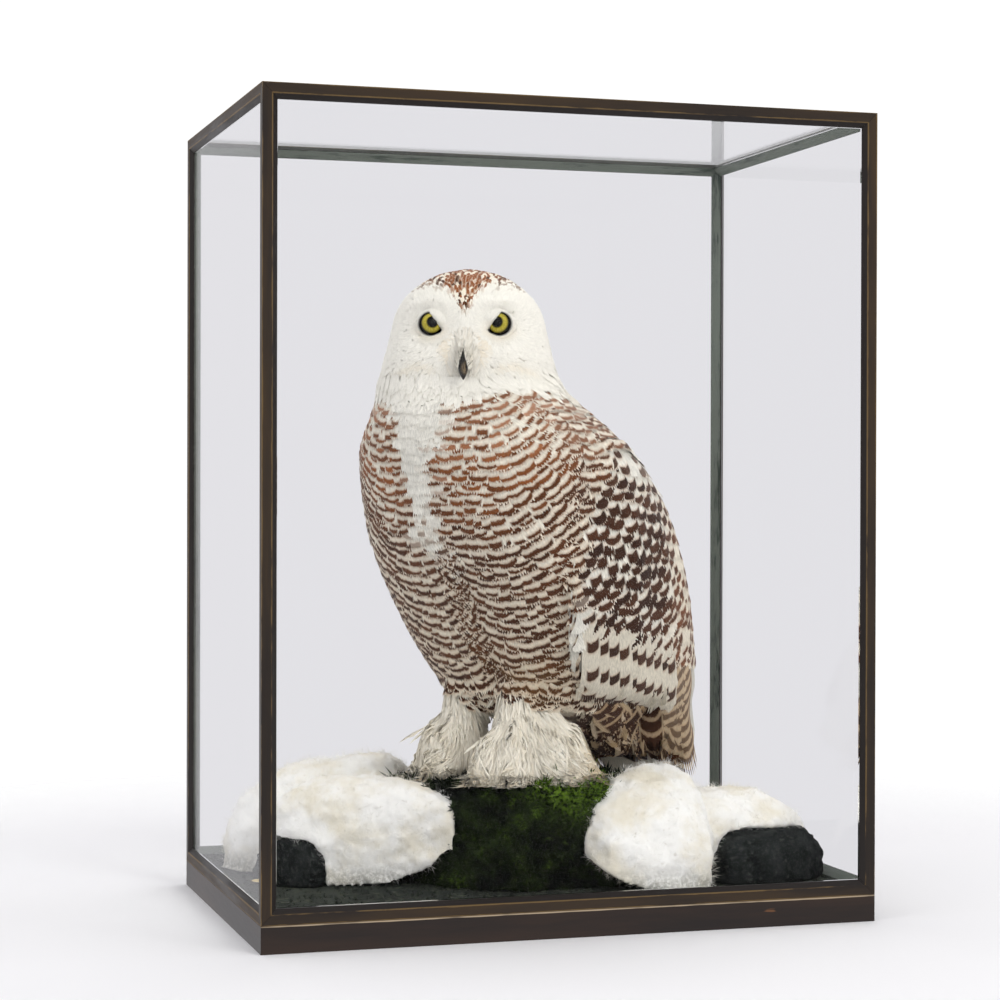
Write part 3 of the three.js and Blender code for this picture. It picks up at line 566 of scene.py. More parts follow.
def ribbons(coat, lines, facing, width, base, unwrap):
    """Fine bristles along lines (count, steps, 3), flat side towards facing, each ending in a point."""
    count, steps = lines.shape[:2]
    ahead = unit(np.gradient(lines, axis=1))
    side = unit(np.cross(facing, ahead)) * np.asarray(width)[:, None, None] / 2
    share = np.linspace(0, 1, steps)
    thick = (0.75 + 0.25 * np.sin(math.pi * share))[None, :, None]
    left, right = lines - side * thick, lines + side * thick
    body = np.stack([left[:, :-1], right[:, :-1]], 2).reshape(count, -1, 3)
    points = np.concatenate([body, lines[:, -1:]], 1)
    quads = np.array([(2 * k, 2 * k + 1, 2 * k + 3, 2 * k + 2) for k in range(steps - 2)])
    last = 2 * (steps - 2)
    triangles = np.array([(last, last + 1, last + 2)])
    corners = points.shape[1]
    along = np.append(np.repeat(share[:-1], 2), 1.0)
    vane = np.zeros((count, corners, 3))
    vane[:, :, 0] = 12 * (1 - along)
    vane[:, :, 1] = np.append(np.tile([-0.5, 0.5], steps - 1), 0.0)
    vane[:, :, 2] = rng.uniform(0, 1, count)[:, None]
    spread = np.stack([vane[0, :, 1] * PATCH, (0.5 - along) * PATCH], -1)
    coat.add(points, quads, triangles, vane, base, *plain_marks(count), unwrap[:, None] + spread[None])


def unwrapped(first, second):
    """Places on the unit square from two coordinates over the skin."""
    pair = []
    for value in (first, second):
        low, high = value.min(), value.max()
        pair.append(0.01 + 0.98 * (value - low) / max(high - low, 1e-9))
    return np.stack(pair, -1)


def jitter_ways(ways, normals, degrees):
    turn = np.radians(rng.normal(0, degrees, len(ways)))[:, None]
    return ways * np.cos(turn) + np.cross(normals, ways) * np.sin(turn)


# ---- Materials ------------------------------------------------------------------------------

def new_group(name, vector, inputs, outputs):
    """A shader group with one vector input, and with inputs and outputs that are plain numbers."""
    tree = bpy.data.node_groups.new(name, "ShaderNodeTree")
    tree.interface.new_socket(vector, in_out="INPUT", socket_type="NodeSocketVector")
    for kind, labels in (("INPUT", inputs), ("OUTPUT", outputs)):
        for label in labels:
            tree.interface.new_socket(label, in_out=kind, socket_type="NodeSocketFloat")
    return tree, tree.nodes.new("NodeGroupInput"), tree.nodes.new("NodeGroupOutput")


def barred_vane():
    """Marks across a vane: bars at even distances from its tip with a warm halo, the fine streaks of
    its barbs, and the depth from its tip, which the plumage uses for painted shade towards the root."""
    inputs = ("First", "Spacing", "Half", "Reach", "Wobble", "Brush")
    tree, given, out = new_group("barred_vane", "Vane", inputs, ("Bar", "Halo", "Barbs", "Depth"))
    given = given.outputs
    from_tip, across, chance = parts_of(tree, given["Vane"])
    far = times(tree, chance, 400)
    soft = node(tree, "ShaderNodeCombineXYZ", {0: from_tip, 1: across, 2: far})
    wave = noise_in(tree, soft.outputs[0], 0.28, 2.0)
    place = plus(tree, from_tip, times(tree, minus(tree, wave, 0.5), given["Wobble"]))
    count = sums(tree, "DIVIDE", minus(tree, place, given["First"]), given["Spacing"])
    whole = most(tree, sums(tree, "ROUND", count), 0.0)
    away = times(tree, sums(tree, "ABSOLUTE", minus(tree, count, whole)), given["Spacing"])
    thin = node(tree, "ShaderNodeCombineXYZ", {0: times(tree, from_tip, 0.16), 1: across, 2: far})
    barbs = noise_in(tree, thin.outputs[0], 1.1, 2.0)
    brushed = times(tree, minus(tree, barbs, 0.5), given["Brush"])
    inside = plus(tree, minus(tree, given["Half"], away), brushed)
    side = minus(tree, given["Reach"], sums(tree, "ABSOLUTE", across))
    results = {"Bar": times(tree, ramp(tree, inside, -0.9, 1.0), ramp(tree, side, -1.4, 1.7)),
               "Halo": times(tree, ramp(tree, inside, -3.4, 0.4), ramp(tree, side, -2.0, 2.5)),
               "Barbs": ramp(tree, barbs, 0.3, 0.7), "Depth": ramp(tree, from_tip, 0.0, 26.0)}
    for label, socket in results.items():
        tree.links.new(socket, out.inputs[label])
    return tree


def new_material(name, roughness, specular=0.3):
    material = bpy.data.materials.new(name)
    material.use_nodes = True
    skin = material.node_tree.nodes["Principled BSDF"]
    skin.inputs["Roughness"].default_value = roughness
    skin.inputs["Specular IOR Level"].default_value = specular
    return material, material.node_tree, skin


def attribute(tree, name):
    return node(tree, "ShaderNodeAttribute", attribute_name=name)


VANE_PATTERN = barred_vane()
BAR_WOBBLE = 3.4         # mm that a bar swings along its vane
BAR_HALO = paint(176, 132, 92)


def plumage_material(name, streak, relief, brush):
    """Feathers; streak is how strongly the barbs show in the colour and how deep the painted shade runs
    towards each vane's root, relief in the light, and brush in the edges of the bars."""
    material, tree, skin = new_material(name, 0.8, 0.12)
    skin.inputs["Sheen Weight"].default_value = 0.12
    skin.inputs["Sheen Roughness"].default_value = 0.5
    bars = attribute(tree, "coat_bars")
    mark = attribute(tree, "coat_mark")
    base = attribute(tree, "coat_base")
    split = node(tree, "ShaderNodeSeparateColor", {0: bars.outputs["Color"]})
    pattern = node(tree, "ShaderNodeGroup", node_tree=VANE_PATTERN)
    tree.links.new(attribute(tree, "coat_vane").outputs["Vector"], pattern.inputs["Vane"])
    for label, socket in zip(("First", "Spacing", "Half"), split.outputs):
        tree.links.new(socket, pattern.inputs[label])
    tree.links.new(bars.outputs["Alpha"], pattern.inputs["Reach"])
    pattern.inputs["Wobble"].default_value = BAR_WOBBLE
    pattern.inputs["Brush"].default_value = brush
    bar = times(tree, pattern.outputs["Bar"], mark.outputs["Alpha"])
    edge = plus(tree, times(tree, pattern.outputs["Barbs"], streak), 1.04 - streak * 0.8)
    # Painted shade: each vane darkens towards its root, where the vanes overlap, as deep as streak sets.
    barbs_and_root_shade = minus(tree, edge, times(tree, pattern.outputs["Depth"], streak * 0.5))
    halo = times(tree, times(tree, pattern.outputs["Halo"], mark.outputs["Alpha"]), 0.5)
    warmed = blend(tree, halo, base.outputs["Color"], BAR_HALO)
    marked = blend(tree, bar, warmed, mark.outputs["Color"])
    grey = node(tree, "ShaderNodeCombineColor", {0: barbs_and_root_shade, 1: barbs_and_root_shade, 2: barbs_and_root_shade})
    colour = blend(tree, 1.0, marked, grey.outputs[0], "MULTIPLY")
    finish_skin(tree, skin, colour, pattern.outputs["Barbs"], relief, 0.0006)
    return material


# ---- The whole bird's surface ---------------------------------------------------------------

def closest_group(points):
    """How near each point is to the body, the wings, the tail, and the legs and feet, as shares of 1."""
    groups = [["owl_head", "owl_neck", "owl_trunk"], ["owl_wing_left", "owl_wing_right"], ["owl_tail"],
              ["owl_leg_left", "owl_leg_right", "owl_foot_left", "owl_foot_right"]]
    shares = []
    for nodes in groups:
        piece = merged_copy("measure", nodes)
        corners, faces = mesh_arrays(piece.data)
        bpy.data.objects.remove(piece)
        tree = BVHTree.FromPolygons(corners.tolist(), faces.tolist())
        shares.append([tree.find_nearest(point)[3] for point in points.tolist()])
    shares = 1 / (np.array(shares).T + 0.0012) ** 2
    return shares / shares.sum(1, keepdims=True)


def largest_island(work):
    """The indices of the points of a mesh's largest connected part."""
    seen, best = set(), set()
    for start in work.verts:
        if start.index in seen:
            continue
        island, waiting = {start.index}, [start]
        while waiting:
            vert = waiting.pop()
            for link in vert.link_edges:
                other = link.other_vert(vert)
                if other.index not in island:
                    island.add(other.index)
                    waiting.append(other)
        seen |= island
        best = max(best, island, key=len)
    return best


SKIN_VOXEL = 0.0030
COAT_DEPTH = np.array([0.0046, 0.0022, 0.0016, 0.0052])     # body, wings, tail, feet
FACE_DEPTH = 0.0026


def bird_surface():
    """The skin: the flesh joined in one smooth shape, and drawn in by the depth of the coat."""
    piece = remeshed(merged_copy("owl_skin", FLESH), SKIN_VOXEL, 5)
    work = bmesh.new()
    work.from_mesh(piece.data)
    keep = largest_island(work)
    bmesh.ops.delete(work, geom=[vert for vert in work.verts if vert.index not in keep], context="VERTS")
    bmesh.ops.triangulate(work, faces=work.faces)
    work.to_mesh(piece.data)
    work.free()
    points, faces = mesh_arrays(piece.data)
    outer = Surface(points, faces)
    shares = closest_group(points)
    local = head_mm(points)
    face = smooth(20, 50, local[:, 0]) * smooth(395, 420, local[:, 2])
    depth = shares @ COAT_DEPTH
    depth = depth * (1 - face) + FACE_DEPTH * face
    surface = Surface(points - outer.normals * depth[:, None], faces)
    surface.shares = shares
    move_points(piece, surface.points)
    return piece, surface


def shares_at(surface, places):
    """The group shares of the surface at places on it."""
    found = [surface.tree.find_nearest(point)[2] for point in places.tolist()]
    return surface.shares[surface.faces[np.array(found)]].mean(1)


# ---- Markings of the plumage ----------------------------------------------------------------

# Markings and coats are worked out in mm and degrees in the owl's own frame, or in its head's on the
# head. Angles are turned from the breast to the left about the body's axis.
AXIS_Z = [18, 34, 52, 68, 84, 120, 160, 200, 240, 280, 320, 342, 362, 380, 396, 412, 519]
AXIS_X = [-166, -146, -118, -94, -76, -50, -30, -15, -5, 0, 0, 2, 10, 21, 31, 34, 34]
CLEFT_Z = [86, 104, 129, 165, 212, 240, 271, 304, 345]
CLEFT_TURN = [30, 22, 15, 12, 14, 10, 6, 0, -1]


def axis_at(z):
    return np.interp(z, AXIS_Z, AXIS_X)


def turn_of(local):
    """The angle about the body's axis of places in the owl's frame, in degrees."""
    return np.degrees(np.arctan2(local[..., 1], local[..., 0] - axis_at(local[..., 2])))


def row_rise(turn, level):
    """How far above its middle a row of feathers runs at an angle: up over the shoulders, and
    down again from the parting of the breast."""
    cleft = np.interp(level, CLEFT_Z, CLEFT_TURN)
    full = 0.5 + 0.5 * smooth(190, 250, level)
    side = np.where(turn > 12, turn, 24 - turn)
    shoulder = 55 * full * smooth(0, 45, side - 38) ** 1.5
    part = 28 * (1 - smooth(200, 290, level))
    return shoulder + part * np.exp(-((turn - cleft) / 13) ** 2)


def breast_marks(turn, level, height, chance):
    """Ground colour, and colour and strength of the bars, of body feathers with tips at an angle,
    a level of the rows and a true height."""
    white_top = np.interp(turn, [-120, -60, -23, -8, 26, 39, 58, 83, 96, 101, 120, 180],
                          [372, 378, 383, 380, 376, 378, 385, 385, 383, 373, 366, 366])
    left = np.interp(height, [205, 220, 241, 284, 322, 353, 380], [13, 4, -8, -5, -5, -9, -22])
    right = np.interp(height, [205, 220, 241, 284, 322, 353, 380], [13, 9, 9, 10, 11, 25, 38])
    inside = np.minimum(turn - left, right - turn)
    bib = smooth(-4, 5, inside + (chance - 0.5) * 13) * smooth(200, 216, height + (chance - 0.5) * 16)
    strength = (1 - bib) * (1 - smooth(-7, 6, height - white_top + (chance - 0.5) * 20))
    strength = strength * (1 - 0.25 * smooth(300, 370, height) * chance)
    base = mixed(mixed(WHITE, SHADED_WHITE, 0.6 * (1 - smooth(340, 400, level))), CREAM,
                 (1 - smooth(60, 300, level)) * 0.55)
    base = mixed(base, CREAM, 0.28 * (1 - bib))
    base = mixed(base, WHITE, bib * 0.7)
    warm = smooth(215, 345, level)
    mark = mixed(mixed(UMBER, CHESTNUT, 0.3 + chance * 0.7), RUST, np.clip(warm * (0.3 + 0.8 * chance), 0, 1))
    gold = np.exp(-((turn - 44) / 18) ** 2 - ((level - 92) / 20) ** 2)
    mark = mixed(mark, GOLD_TAN, gold * 0.25)
    base = mixed(base, STRAW, gold * 0.3)
    mark = mixed(mark, UMBER, (1 - smooth(70, 120, level)) * 0.5)
    return base, mark, strength


# ---- The coat -------------------------------------------------------------------------------

BODY_RADIUS = 130        # mm, about the body's own, for the slope of the rows


def rows_on_body(surface, levels, spacing, low_turn, high_turn, rise=row_rise):
    """Staggered rows of roots round the body: places, normals, angle and level of each."""
    turns, tops = [], []
    for k, level in enumerate(levels):
        radius = float(np.interp(level, [20, 60, 120, 250, 340, 400], [50, 90, 125, 140, 130, 95]))
        step = math.degrees(spacing / radius)
        row = np.arange(low_turn, high_turn, step) + (k % 2) * step / 2
        row = row + rng.uniform(-0.16, 0.16, len(row)) * step
        turns.append(row)
        tops.append(np.full(len(row), float(level)) + rng.uniform(-0.7, 0.7, len(row)))
    turns, tops = np.concatenate(turns), np.concatenate(tops)
    height = tops + rise(turns, tops)
    angle = np.radians(turns)
    starts = np.stack([axis_at(height), np.zeros_like(height), height], -1) / 1000
    ways = np.stack([np.cos(angle), np.sin(angle), np.zeros_like(angle)], -1)
    places, normals, hit = surface.cast(from_owl(starts), owl_way(ways))
    return places, normals, turns[hit], tops[hit]


def row_ways(turn, level):
    """Down across the rows: the way that body feathers point."""
    step = 2.0
    rise = row_rise(turn + step, level) - row_rise(turn - step, level)
    slope = rise / (2 * math.radians(step) * BODY_RADIUS)
    angle = np.radians(turn)
    side = np.stack([-np.sin(angle), np.cos(angle), np.zeros_like(angle)], -1)
    down = np.array([0.0, 0.0, -1.0])
    return owl_way(unit(down + side * np.clip(slope, -1.2, 1.2)[:, None]))


def four(first, spacing, half, reach):
    return np.stack(np.broadcast_arrays(*(np.asarray(v, float) for v in (first, spacing, half, reach))), -1)


def with_strength(colour, strength):
    return np.concatenate([colour, np.asarray(strength)[:, None]], -1)


def plain_marks(count):
    """Marks and bars for feathers that have none."""
    return np.zeros((count, 4)), four(np.full(count, 1.0), 99, 0, 1)


def only(kept, *values):
    return [value[kept] for value in values]


ROW = 10.5               # mm between rows of breast feathers


def body_coat(surface, material, name, levels, low_turn, high_turn, spacing, size):
    coat = Coat(name)
    places, normals, turn, level = rows_on_body(surface, levels, spacing, low_turn, high_turn)
    shares = shares_at(surface, places)
    local = owl_mm(places)
    ahead = to_owl(places + normals)[:, 0] - to_owl(places)[:, 0]
    wing_edge = (ahead > 0.35) & (shares[:, 1] > 0.4) & (local[:, 2] > 96)
    kept = ((shares[:, 0] > 0.35) | wing_edge) & (local[:, 2] < 402)
    ways = row_ways(turn, level)
    below, _ = surface.nearest(places + ways * size / 1000)
    kept &= ~((shares_at(surface, below)[:, 3] > 0.45) & (local[:, 2] < 108))
    places, normals, turn, level, ways = only(kept, places, normals, turn, level, ways)
    height = local[kept, 2]
    count = len(places)
    chance = rng.uniform(0, 1, count)
    length = size * rng.uniform(0.9, 1.1, count) * np.interp(level, [20, 60, 360, 420], [0.9, 1, 1, 0.7])
    tip_level = level - length * 0.9
    base, mark, strength = breast_marks(turn, tip_level, height - length * 0.8, chance)
    base = base * rng.uniform(0.93, 1.04, count)[:, None]
    half = np.interp(tip_level, [40, 120, 300, 390], [3.0, 2.4, 2.2, 2.0]) * rng.uniform(0.7, 1.25, count)
    reach = np.interp(tip_level, [300, 350], [14, 10]) * rng.uniform(0.5, 1.2, count)
    bars = four(5.2 + rng.uniform(-1.2, 1.2, count), ROW, half, reach)
    width = length * np.interp(level, [60, 360, 420], [0.78, 0.78, 0.7])
    lay(coat, surface, places, jitter_ways(ways, normals, 5), length, width, base,
        with_strength(mark, strength), bars, unwrapped(turn, level), strips=8, high=0.0024, low=0.0004,
        tip=0.13, fray=0.09, camber=0.0006, patch_long=LONG_PATCH)
    coat.make(material)


def scattered(surface, spacing, wanted):
    """Roots spread evenly but not in rows, where wanted(places) is true."""
    corners = surface.points[surface.faces]
    area = np.linalg.norm(np.cross(corners[:, 1] - corners[:, 0], corners[:, 2] - corners[:, 0]), axis=1) / 2
    chosen = np.flatnonzero(wanted(corners.mean(1)))
    weight = area[chosen] / area[chosen].sum()
    total = int(area[chosen].sum() / spacing ** 2 * 3)
    face = chosen[np.searchsorted(np.cumsum(weight), rng.uniform(0, 0.999999, total))]
    a, b = rng.uniform(0, 1, total), rng.uniform(0, 1, total)
    a, b = np.where(a + b > 1, 1 - a, a), np.where(a + b > 1, 1 - b, b)
    spots = corners[face, 0] + (corners[face, 1] - corners[face, 0]) * a[:, None] \
        + (corners[face, 2] - corners[face, 0]) * b[:, None]
    cells, kept = {}, []
    for index, spot in enumerate(spots.tolist()):
        key = tuple(int(math.floor(value / spacing)) for value in spot)
        around = itertools.product(*((step - 1, step, step + 1) for step in key))
        close = (other for cell in around for other in cells.get(cell, ()))
        if all(sum((p - q) ** 2 for p, q in zip(other, spot)) >= (spacing * 0.8) ** 2 for other in close):
            cells.setdefault(key, []).append(spot)
            kept.append(index)
    return surface.nearest(spots[kept])


BILL_BASE = np.array([72.0, 0.0, 432.0])


def eye_centre(side):
    return np.array([EYE_PLACE[0], side * EYE_PLACE[1], EYE_PLACE[2]]) * 1000


def head_ways(local):
    """The lie of the head's feathers in the head's frame: out from the eyes and away from the bill."""
    away = unit(local - BILL_BASE)
    flow = away.copy()
    back = smooth(30, -40, local[:, 0])
    flow[:, 2] -= 1.5 * back + 0.9 * smooth(430, 405, local[:, 2])
    for side in (1, -1):
        flat = local - eye_centre(side)
        flat[:, 0] = 0
        reach = np.linalg.norm(flat, axis=1)
        near = np.exp(-(np.maximum(reach - 13, 0) / 13) ** 2) * smooth(10, 40, local[:, 0])
        flow = flow * (1 - near)[:, None] + unit(flat) * near[:, None] * 1.2
    between = np.exp(-(local[:, 1] / 9) ** 2) * smooth(452, 440, local[:, 2]) * smooth(40, 55, local[:, 0])
    flow = flow * (1 - between)[:, None] + np.array([0.2, 0, -1.0]) * between[:, None]
    return flow


def crown_marks(local, chance):
    """Ground colour with its painted shade, and colour and strength of the specks, of the head's small
    feathers.
    """
    side = np.abs(local[:, 1])
    low_edge = np.interp(side, [0, 6, 12, 22, 36, 50], [464, 472, 483, 491, 495, 494])
    top = smooth(-5, 9, local[:, 2] - low_edge + 10 * (chance - 0.5)) * smooth(-62, -30, local[:, 0])
    back = smooth(-4, -22, local[:, 0]) * smooth(446, 464, local[:, 2]) * 0.8
    few = np.interp(local[:, 2] - low_edge, [-4, 12, 24], [0.60, 0.32, 0.14])
    strength = np.clip(top + back, 0, 1) * (chance > few)
    lore = np.exp(-((side - np.interp(local[:, 2], [420, 452], [9, 24])) / 6) ** 2)
    lore = lore * smooth(412, 424, local[:, 2]) * smooth(458, 446, local[:, 2]) * smooth(30, 45, local[:, 0])
    # Painted shade: cream along the creases of the cheeks, and shaded white low on the face under the chin.
    crease_shade = np.exp(-((local[:, 2] - np.interp(side, [20, 45, 70], [414, 418, 410])) / 3.4) ** 2)
    crease_shade = crease_shade * smooth(22, 34, side) * smooth(74, 60, side) * smooth(5, 20, local[:, 0])
    base = mixed(np.broadcast_to(WHITE, (len(local), 3)), CREAM, np.clip(0.62 * lore + 0.42 * crease_shade, 0, 1))
    base = mixed(base, SHADED_WHITE, 0.35 * smooth(430, 404, local[:, 2]))
    base = mixed(base, CREAM, 0.6 * top)
    edge = smooth(20, 34, side) * 0.7
    mark = mixed(mixed(RUST, UMBER, np.clip(smooth(0.72, 0.95, chance) + edge * chance, 0, 0.9)), CHESTNUT,
                 0.25 * np.ones(len(local)))
    return base, mark, strength


def eye_distance(local):
    reach = []
    for side in (1, -1):
        flat = (local - eye_centre(side))[:, 1:]
        reach.append(np.where(local[:, 0] > 30, np.linalg.norm(flat, axis=1), 99))
    return np.minimum(*reach)


EYE_CLEAR = 14.5         # mm round an eye's middle that these feathers leave to the lids


def head_coat(surface, material, name, spacing, size, width, lift, strips, wanted):
    """Small soft feathers on the part of the head where wanted(places) is true."""
    coat = Coat(name)

    def on_head(points):
        local = head_mm(points)
        return wanted(*local.T) & (eye_distance(local) > EYE_CLEAR)

    places, normals = scattered(surface, spacing / 1000, on_head)
    local = head_mm(places)
    count = len(places)
    chance = rng.uniform(0, 1, count)
    length = size * rng.uniform(0.8, 1.2, count)
    base, mark, strength = crown_marks(local, chance)
    base = base * rng.uniform(0.97, 1.02, count)[:, None]
    bars = four(3.0, 99, 3.0 + 1.6 * chance, 1.6 + 0.6 * chance)
    ways = jitter_ways(head_way(head_ways(local)), normals, 8)
    angle = np.degrees(np.arctan2(local[:, 1], local[:, 0]))
    lay(coat, surface, places, ways, length, length * width, base, with_strength(mark, strength), bars,
        unwrapped(angle, local[:, 2]), rows=3, strips=strips, high=lift, low=0.0003, camber=0.0004, tip=0.4,
        fray=0.16)
    coat.make(material)


def bib_coat(surface, material):
    """Soft white feathers over the throat and down the parting of the breast."""
    coat = Coat("owl_bib_feathers")

    def on_bib(points):
        local = owl_mm(points)
        turn = turn_of(local)
        _, _, strength = breast_marks(turn, local[:, 2], local[:, 2] - 8, np.full(len(local), 0.5))
        return (strength < 0.35) & (local[:, 2] > 206) & (local[:, 2] < 408) & (np.abs(turn - 10) < 75)

    places, normals = scattered(surface, 0.0052, on_bib)
    local = owl_mm(places)
    count = len(places)
    turn = turn_of(local)
    length = rng.uniform(15, 23, count)
    base = mixed(np.broadcast_to(WHITE, (count, 3)), SHADED_WHITE, rng.uniform(0, 0.2, count))
    ways = jitter_ways(row_ways(turn, local[:, 2]), normals, 9)
    lay(coat, surface, places, ways, length, length * 0.4, base, *plain_marks(count),
        unwrapped(turn, local[:, 2]), rows=3, strips=4, high=0.0022, low=0.0012, camber=0.0002, tip=0.35,
        fray=0.25)
    coat.make(material)


def hanging_coat(surface, material):
    """Loose feathers that hang from the belly over the legs, and long ones from the vent to the tail."""
    coat = Coat("owl_belly_fringe")
    for low_turn, high_turn, levels, size, lean in (
            (-70, 85, (88, 95, 102, 109), 23, 0.0), (70, 290, (26, 34, 44, 56, 68), 46, 0.55),
            (70, 290, (24, 32, 42, 54, 66), 44, 0.2),
            (78, 150, (62, 71, 80, 89), 58, 0.95), (210, 282, (62, 71, 80, 89), 58, 0.95)):
        places, normals, turn, level = rows_on_body(surface, levels, 9.0, low_turn, high_turn,
                                                    rise=lambda turn, level: np.zeros_like(turn))
        local = owl_mm(places)
        shares = shares_at(surface, places)
        kept = (local[:, 2] < 112) & (shares[:, 1] < 0.4) & (shares[:, 3] < 0.5)
        places, normals, turn, level, local = only(kept, places, normals, turn, level, local)
        count = len(places)
        chance = rng.uniform(0, 1, count)
        length = size * rng.uniform(0.85, 1.15, count)
        base, mark, strength = breast_marks(turn, level - 20, local[:, 2] - 20, chance)
        # Painted shade: the feathers that lean back from the vent take a tan ground for the shade under the
        # body and tail.
        base = mixed(base, TAN, (0.85 if lean else 0.0) * rng.uniform(0.5, 1, count))
        base = base * rng.uniform(0.9, 1.03, count)[:, None]
        ways = np.broadcast_to(np.array([-lean, 0.0, -1.0]), local.shape)
        spacing, half = (ROW * 1.45, 2.4 + 3.0) if lean else (ROW * 1.2, 2.4)
        bars = four(7 + rng.uniform(-2, 2, count), spacing, half, 14)
        lay(coat, surface, places, jitter_ways(owl_way(unit(ways)), normals, 7), length, length * 0.6, base,
            with_strength(mark, strength), bars, unwrapped(turn, level), high=0.004, low=0.0006, tip=0.16,
            fray=0.14, hug=False, free=0.35 if lean < 0.9 else 0.8, droop=0.05,
            ground=OWL_PLACE[2] + 0.003, patch_long=LONG_PATCH)
    coat.make(material)


# ---- Wings and tail -------------------------------------------------------------------------

OUTSIDE = 300.0          # mm, well clear of the wings


def wing_place(surface, x, z, side):
    """Roots on a wing's outer face at places of its side view, their normals, and which rays hit."""
    start = np.stack([x, np.full_like(x, OUTSIDE * side), z], -1)
    way = np.broadcast_to(np.array([0.0, -1.0 * side, 0.0]), start.shape)
    return surface.cast(from_owl(start / 1000), owl_way(way))


def wing_way(x, z):
    """The way that wing coverts point: down and back, more so low on the wing."""
    lean = np.interp(z, [40, 110, 170, 250, 330], [50, 44, 34, 20, 12]) + np.interp(x, [-200, 20], [6, 0])
    lean = np.radians(lean)
    local = np.stack([-np.sin(lean), np.zeros_like(lean), -np.cos(lean)], -1)
    return owl_way(local)


def front_edge(z, side):
    """How far ahead a wing's front edge lies. The right wing's is further back, under the flank."""
    heights = [84, 100, 131, 160, 193, 230]
    under = np.interp(z, heights, [2, 10, 24, 23, 15, 2]) if side < 0 else 0.0
    return np.interp(z, heights, [-72, -20, 12, 24, 30, 28]) - under


def covert_coat(surface, material, side, name):
    """Rows of small covert feathers over the upper wing."""
    coat = Coat(name)
    xs, zs = [], []
    for k, level in enumerate(np.arange(352, 150, -13.5)):
        row = np.arange(30, -215, -14.5) - (k % 2) * 7.25
        xs.append(row + rng.uniform(-1.6, 1.6, len(row)))
        zs.append(level + 0.15 * row + rng.uniform(-1.4, 1.4, len(row)))
    x, z = np.concatenate(xs), np.concatenate(zs)
    places, normals, hit = wing_place(surface, x, z, side)
    kept = shares_at(surface, places)[:, 1] > 0.4
    places, normals, x, z = only(kept, places, normals, x[hit], z[hit])
    count = len(x)
    chance = rng.uniform(0, 1, count)
    length = np.interp(z, [110, 150, 200, 340], [26, 40, 34, 27]) * rng.uniform(0.92, 1.08, count)
    tip_z = z - length * 0.85
    tip_x = x - length * 0.35
    level = tip_z - 0.15 * tip_x
    dense = smooth(196, 184, level) * smooth(158, 168, level)
    behind = smooth(-90, -150, tip_x)
    stripe = np.exp(-((level - (345 + 0.2 * tip_x)) / 11) ** 2)
    edge = smooth(-15, -9, x - front_edge(z, side)) * smooth(212, 196, z)
    base = mixed(mixed(WHITE, SHADED_WHITE, 0.2 + chance * 0.6), CREAM, behind * 0.6)
    mark = mixed(mixed(CHESTNUT, UMBER, 0.35 + chance * 0.6), RUST, behind * 0.5 * chance)
    patch = np.exp(-((tip_x - 12) / 22) ** 2 - ((tip_z - 318) / 20) ** 2)
    strength = np.clip(1.0 - 0.9 * stripe - 0.8 * patch - edge, 0, 1)
    half = np.interp(level, [160, 190, 260, 340], [5.0, 5.2, 5.4, 3.4]) * rng.uniform(0.65, 1.2, count)
    half = half * (1 - 0.3 * behind)
    reach = rng.uniform(7.0, 11.0, count) + dense * 3.5 - 2.5 * behind
    strength = strength * np.where(chance > 0.1 - 0.1 * dense, 1, 0)
    base = base * rng.uniform(0.94, 1.03, count)[:, None]
    bars = four(6.8 + rng.uniform(-1.4, 1.4, count), 17 + rng.uniform(-1, 1, count), half, reach)
    ways = jitter_ways(wing_way(x, z), normals, 5)
    lay(coat, surface, places, ways, length, length * 0.72, base, with_strength(mark, strength), bars,
        unwrapped(x, z), strips=8, high=0.0022, low=0.0003, tip=0.2, fray=0.07, patch_long=LONG_PATCH,
        edge=0.7)
    coat.make(material)


# The lower edge of the folded wing in its side view, where the long vanes end, in mm.
WING_EDGE_X = [-252, -236, -208, -172, -138, -72, -12, 8]
WING_EDGE_Z = [4, 17, 41, 63, 75, 85, 99, 112]

SECONDARIES = 10
PRIMARIES = 6
RIGHT_WING_BACK = 18     # how much further back the first vanes of the right wing lie
SPOT_TOP = 148           # height of the top row of spots at x = 0
SPOT_STEP = 24.5
ROW_FALL = 0.20          # how much lower a row lies for each mm further back
BAR_STEP = 17            # between the bars of primaries and tail
VANE_SLACK = 1.2         # a long vane follows the wing's curve, so it is longer than its side view


def spots_on(root, tip, long):
    """First place from the tip, and spacing, of the spots on a long vane, so that they keep rows."""
    fall = (tip[1] - root[1]) - ROW_FALL * (tip[0] - root[0])
    top = (1 - (SPOT_TOP + ROW_FALL * root[0] - root[1]) / fall) * long
    spacing = SPOT_STEP / -fall * long
    first = top % spacing
    return (first if first > 2.5 else first + spacing), spacing


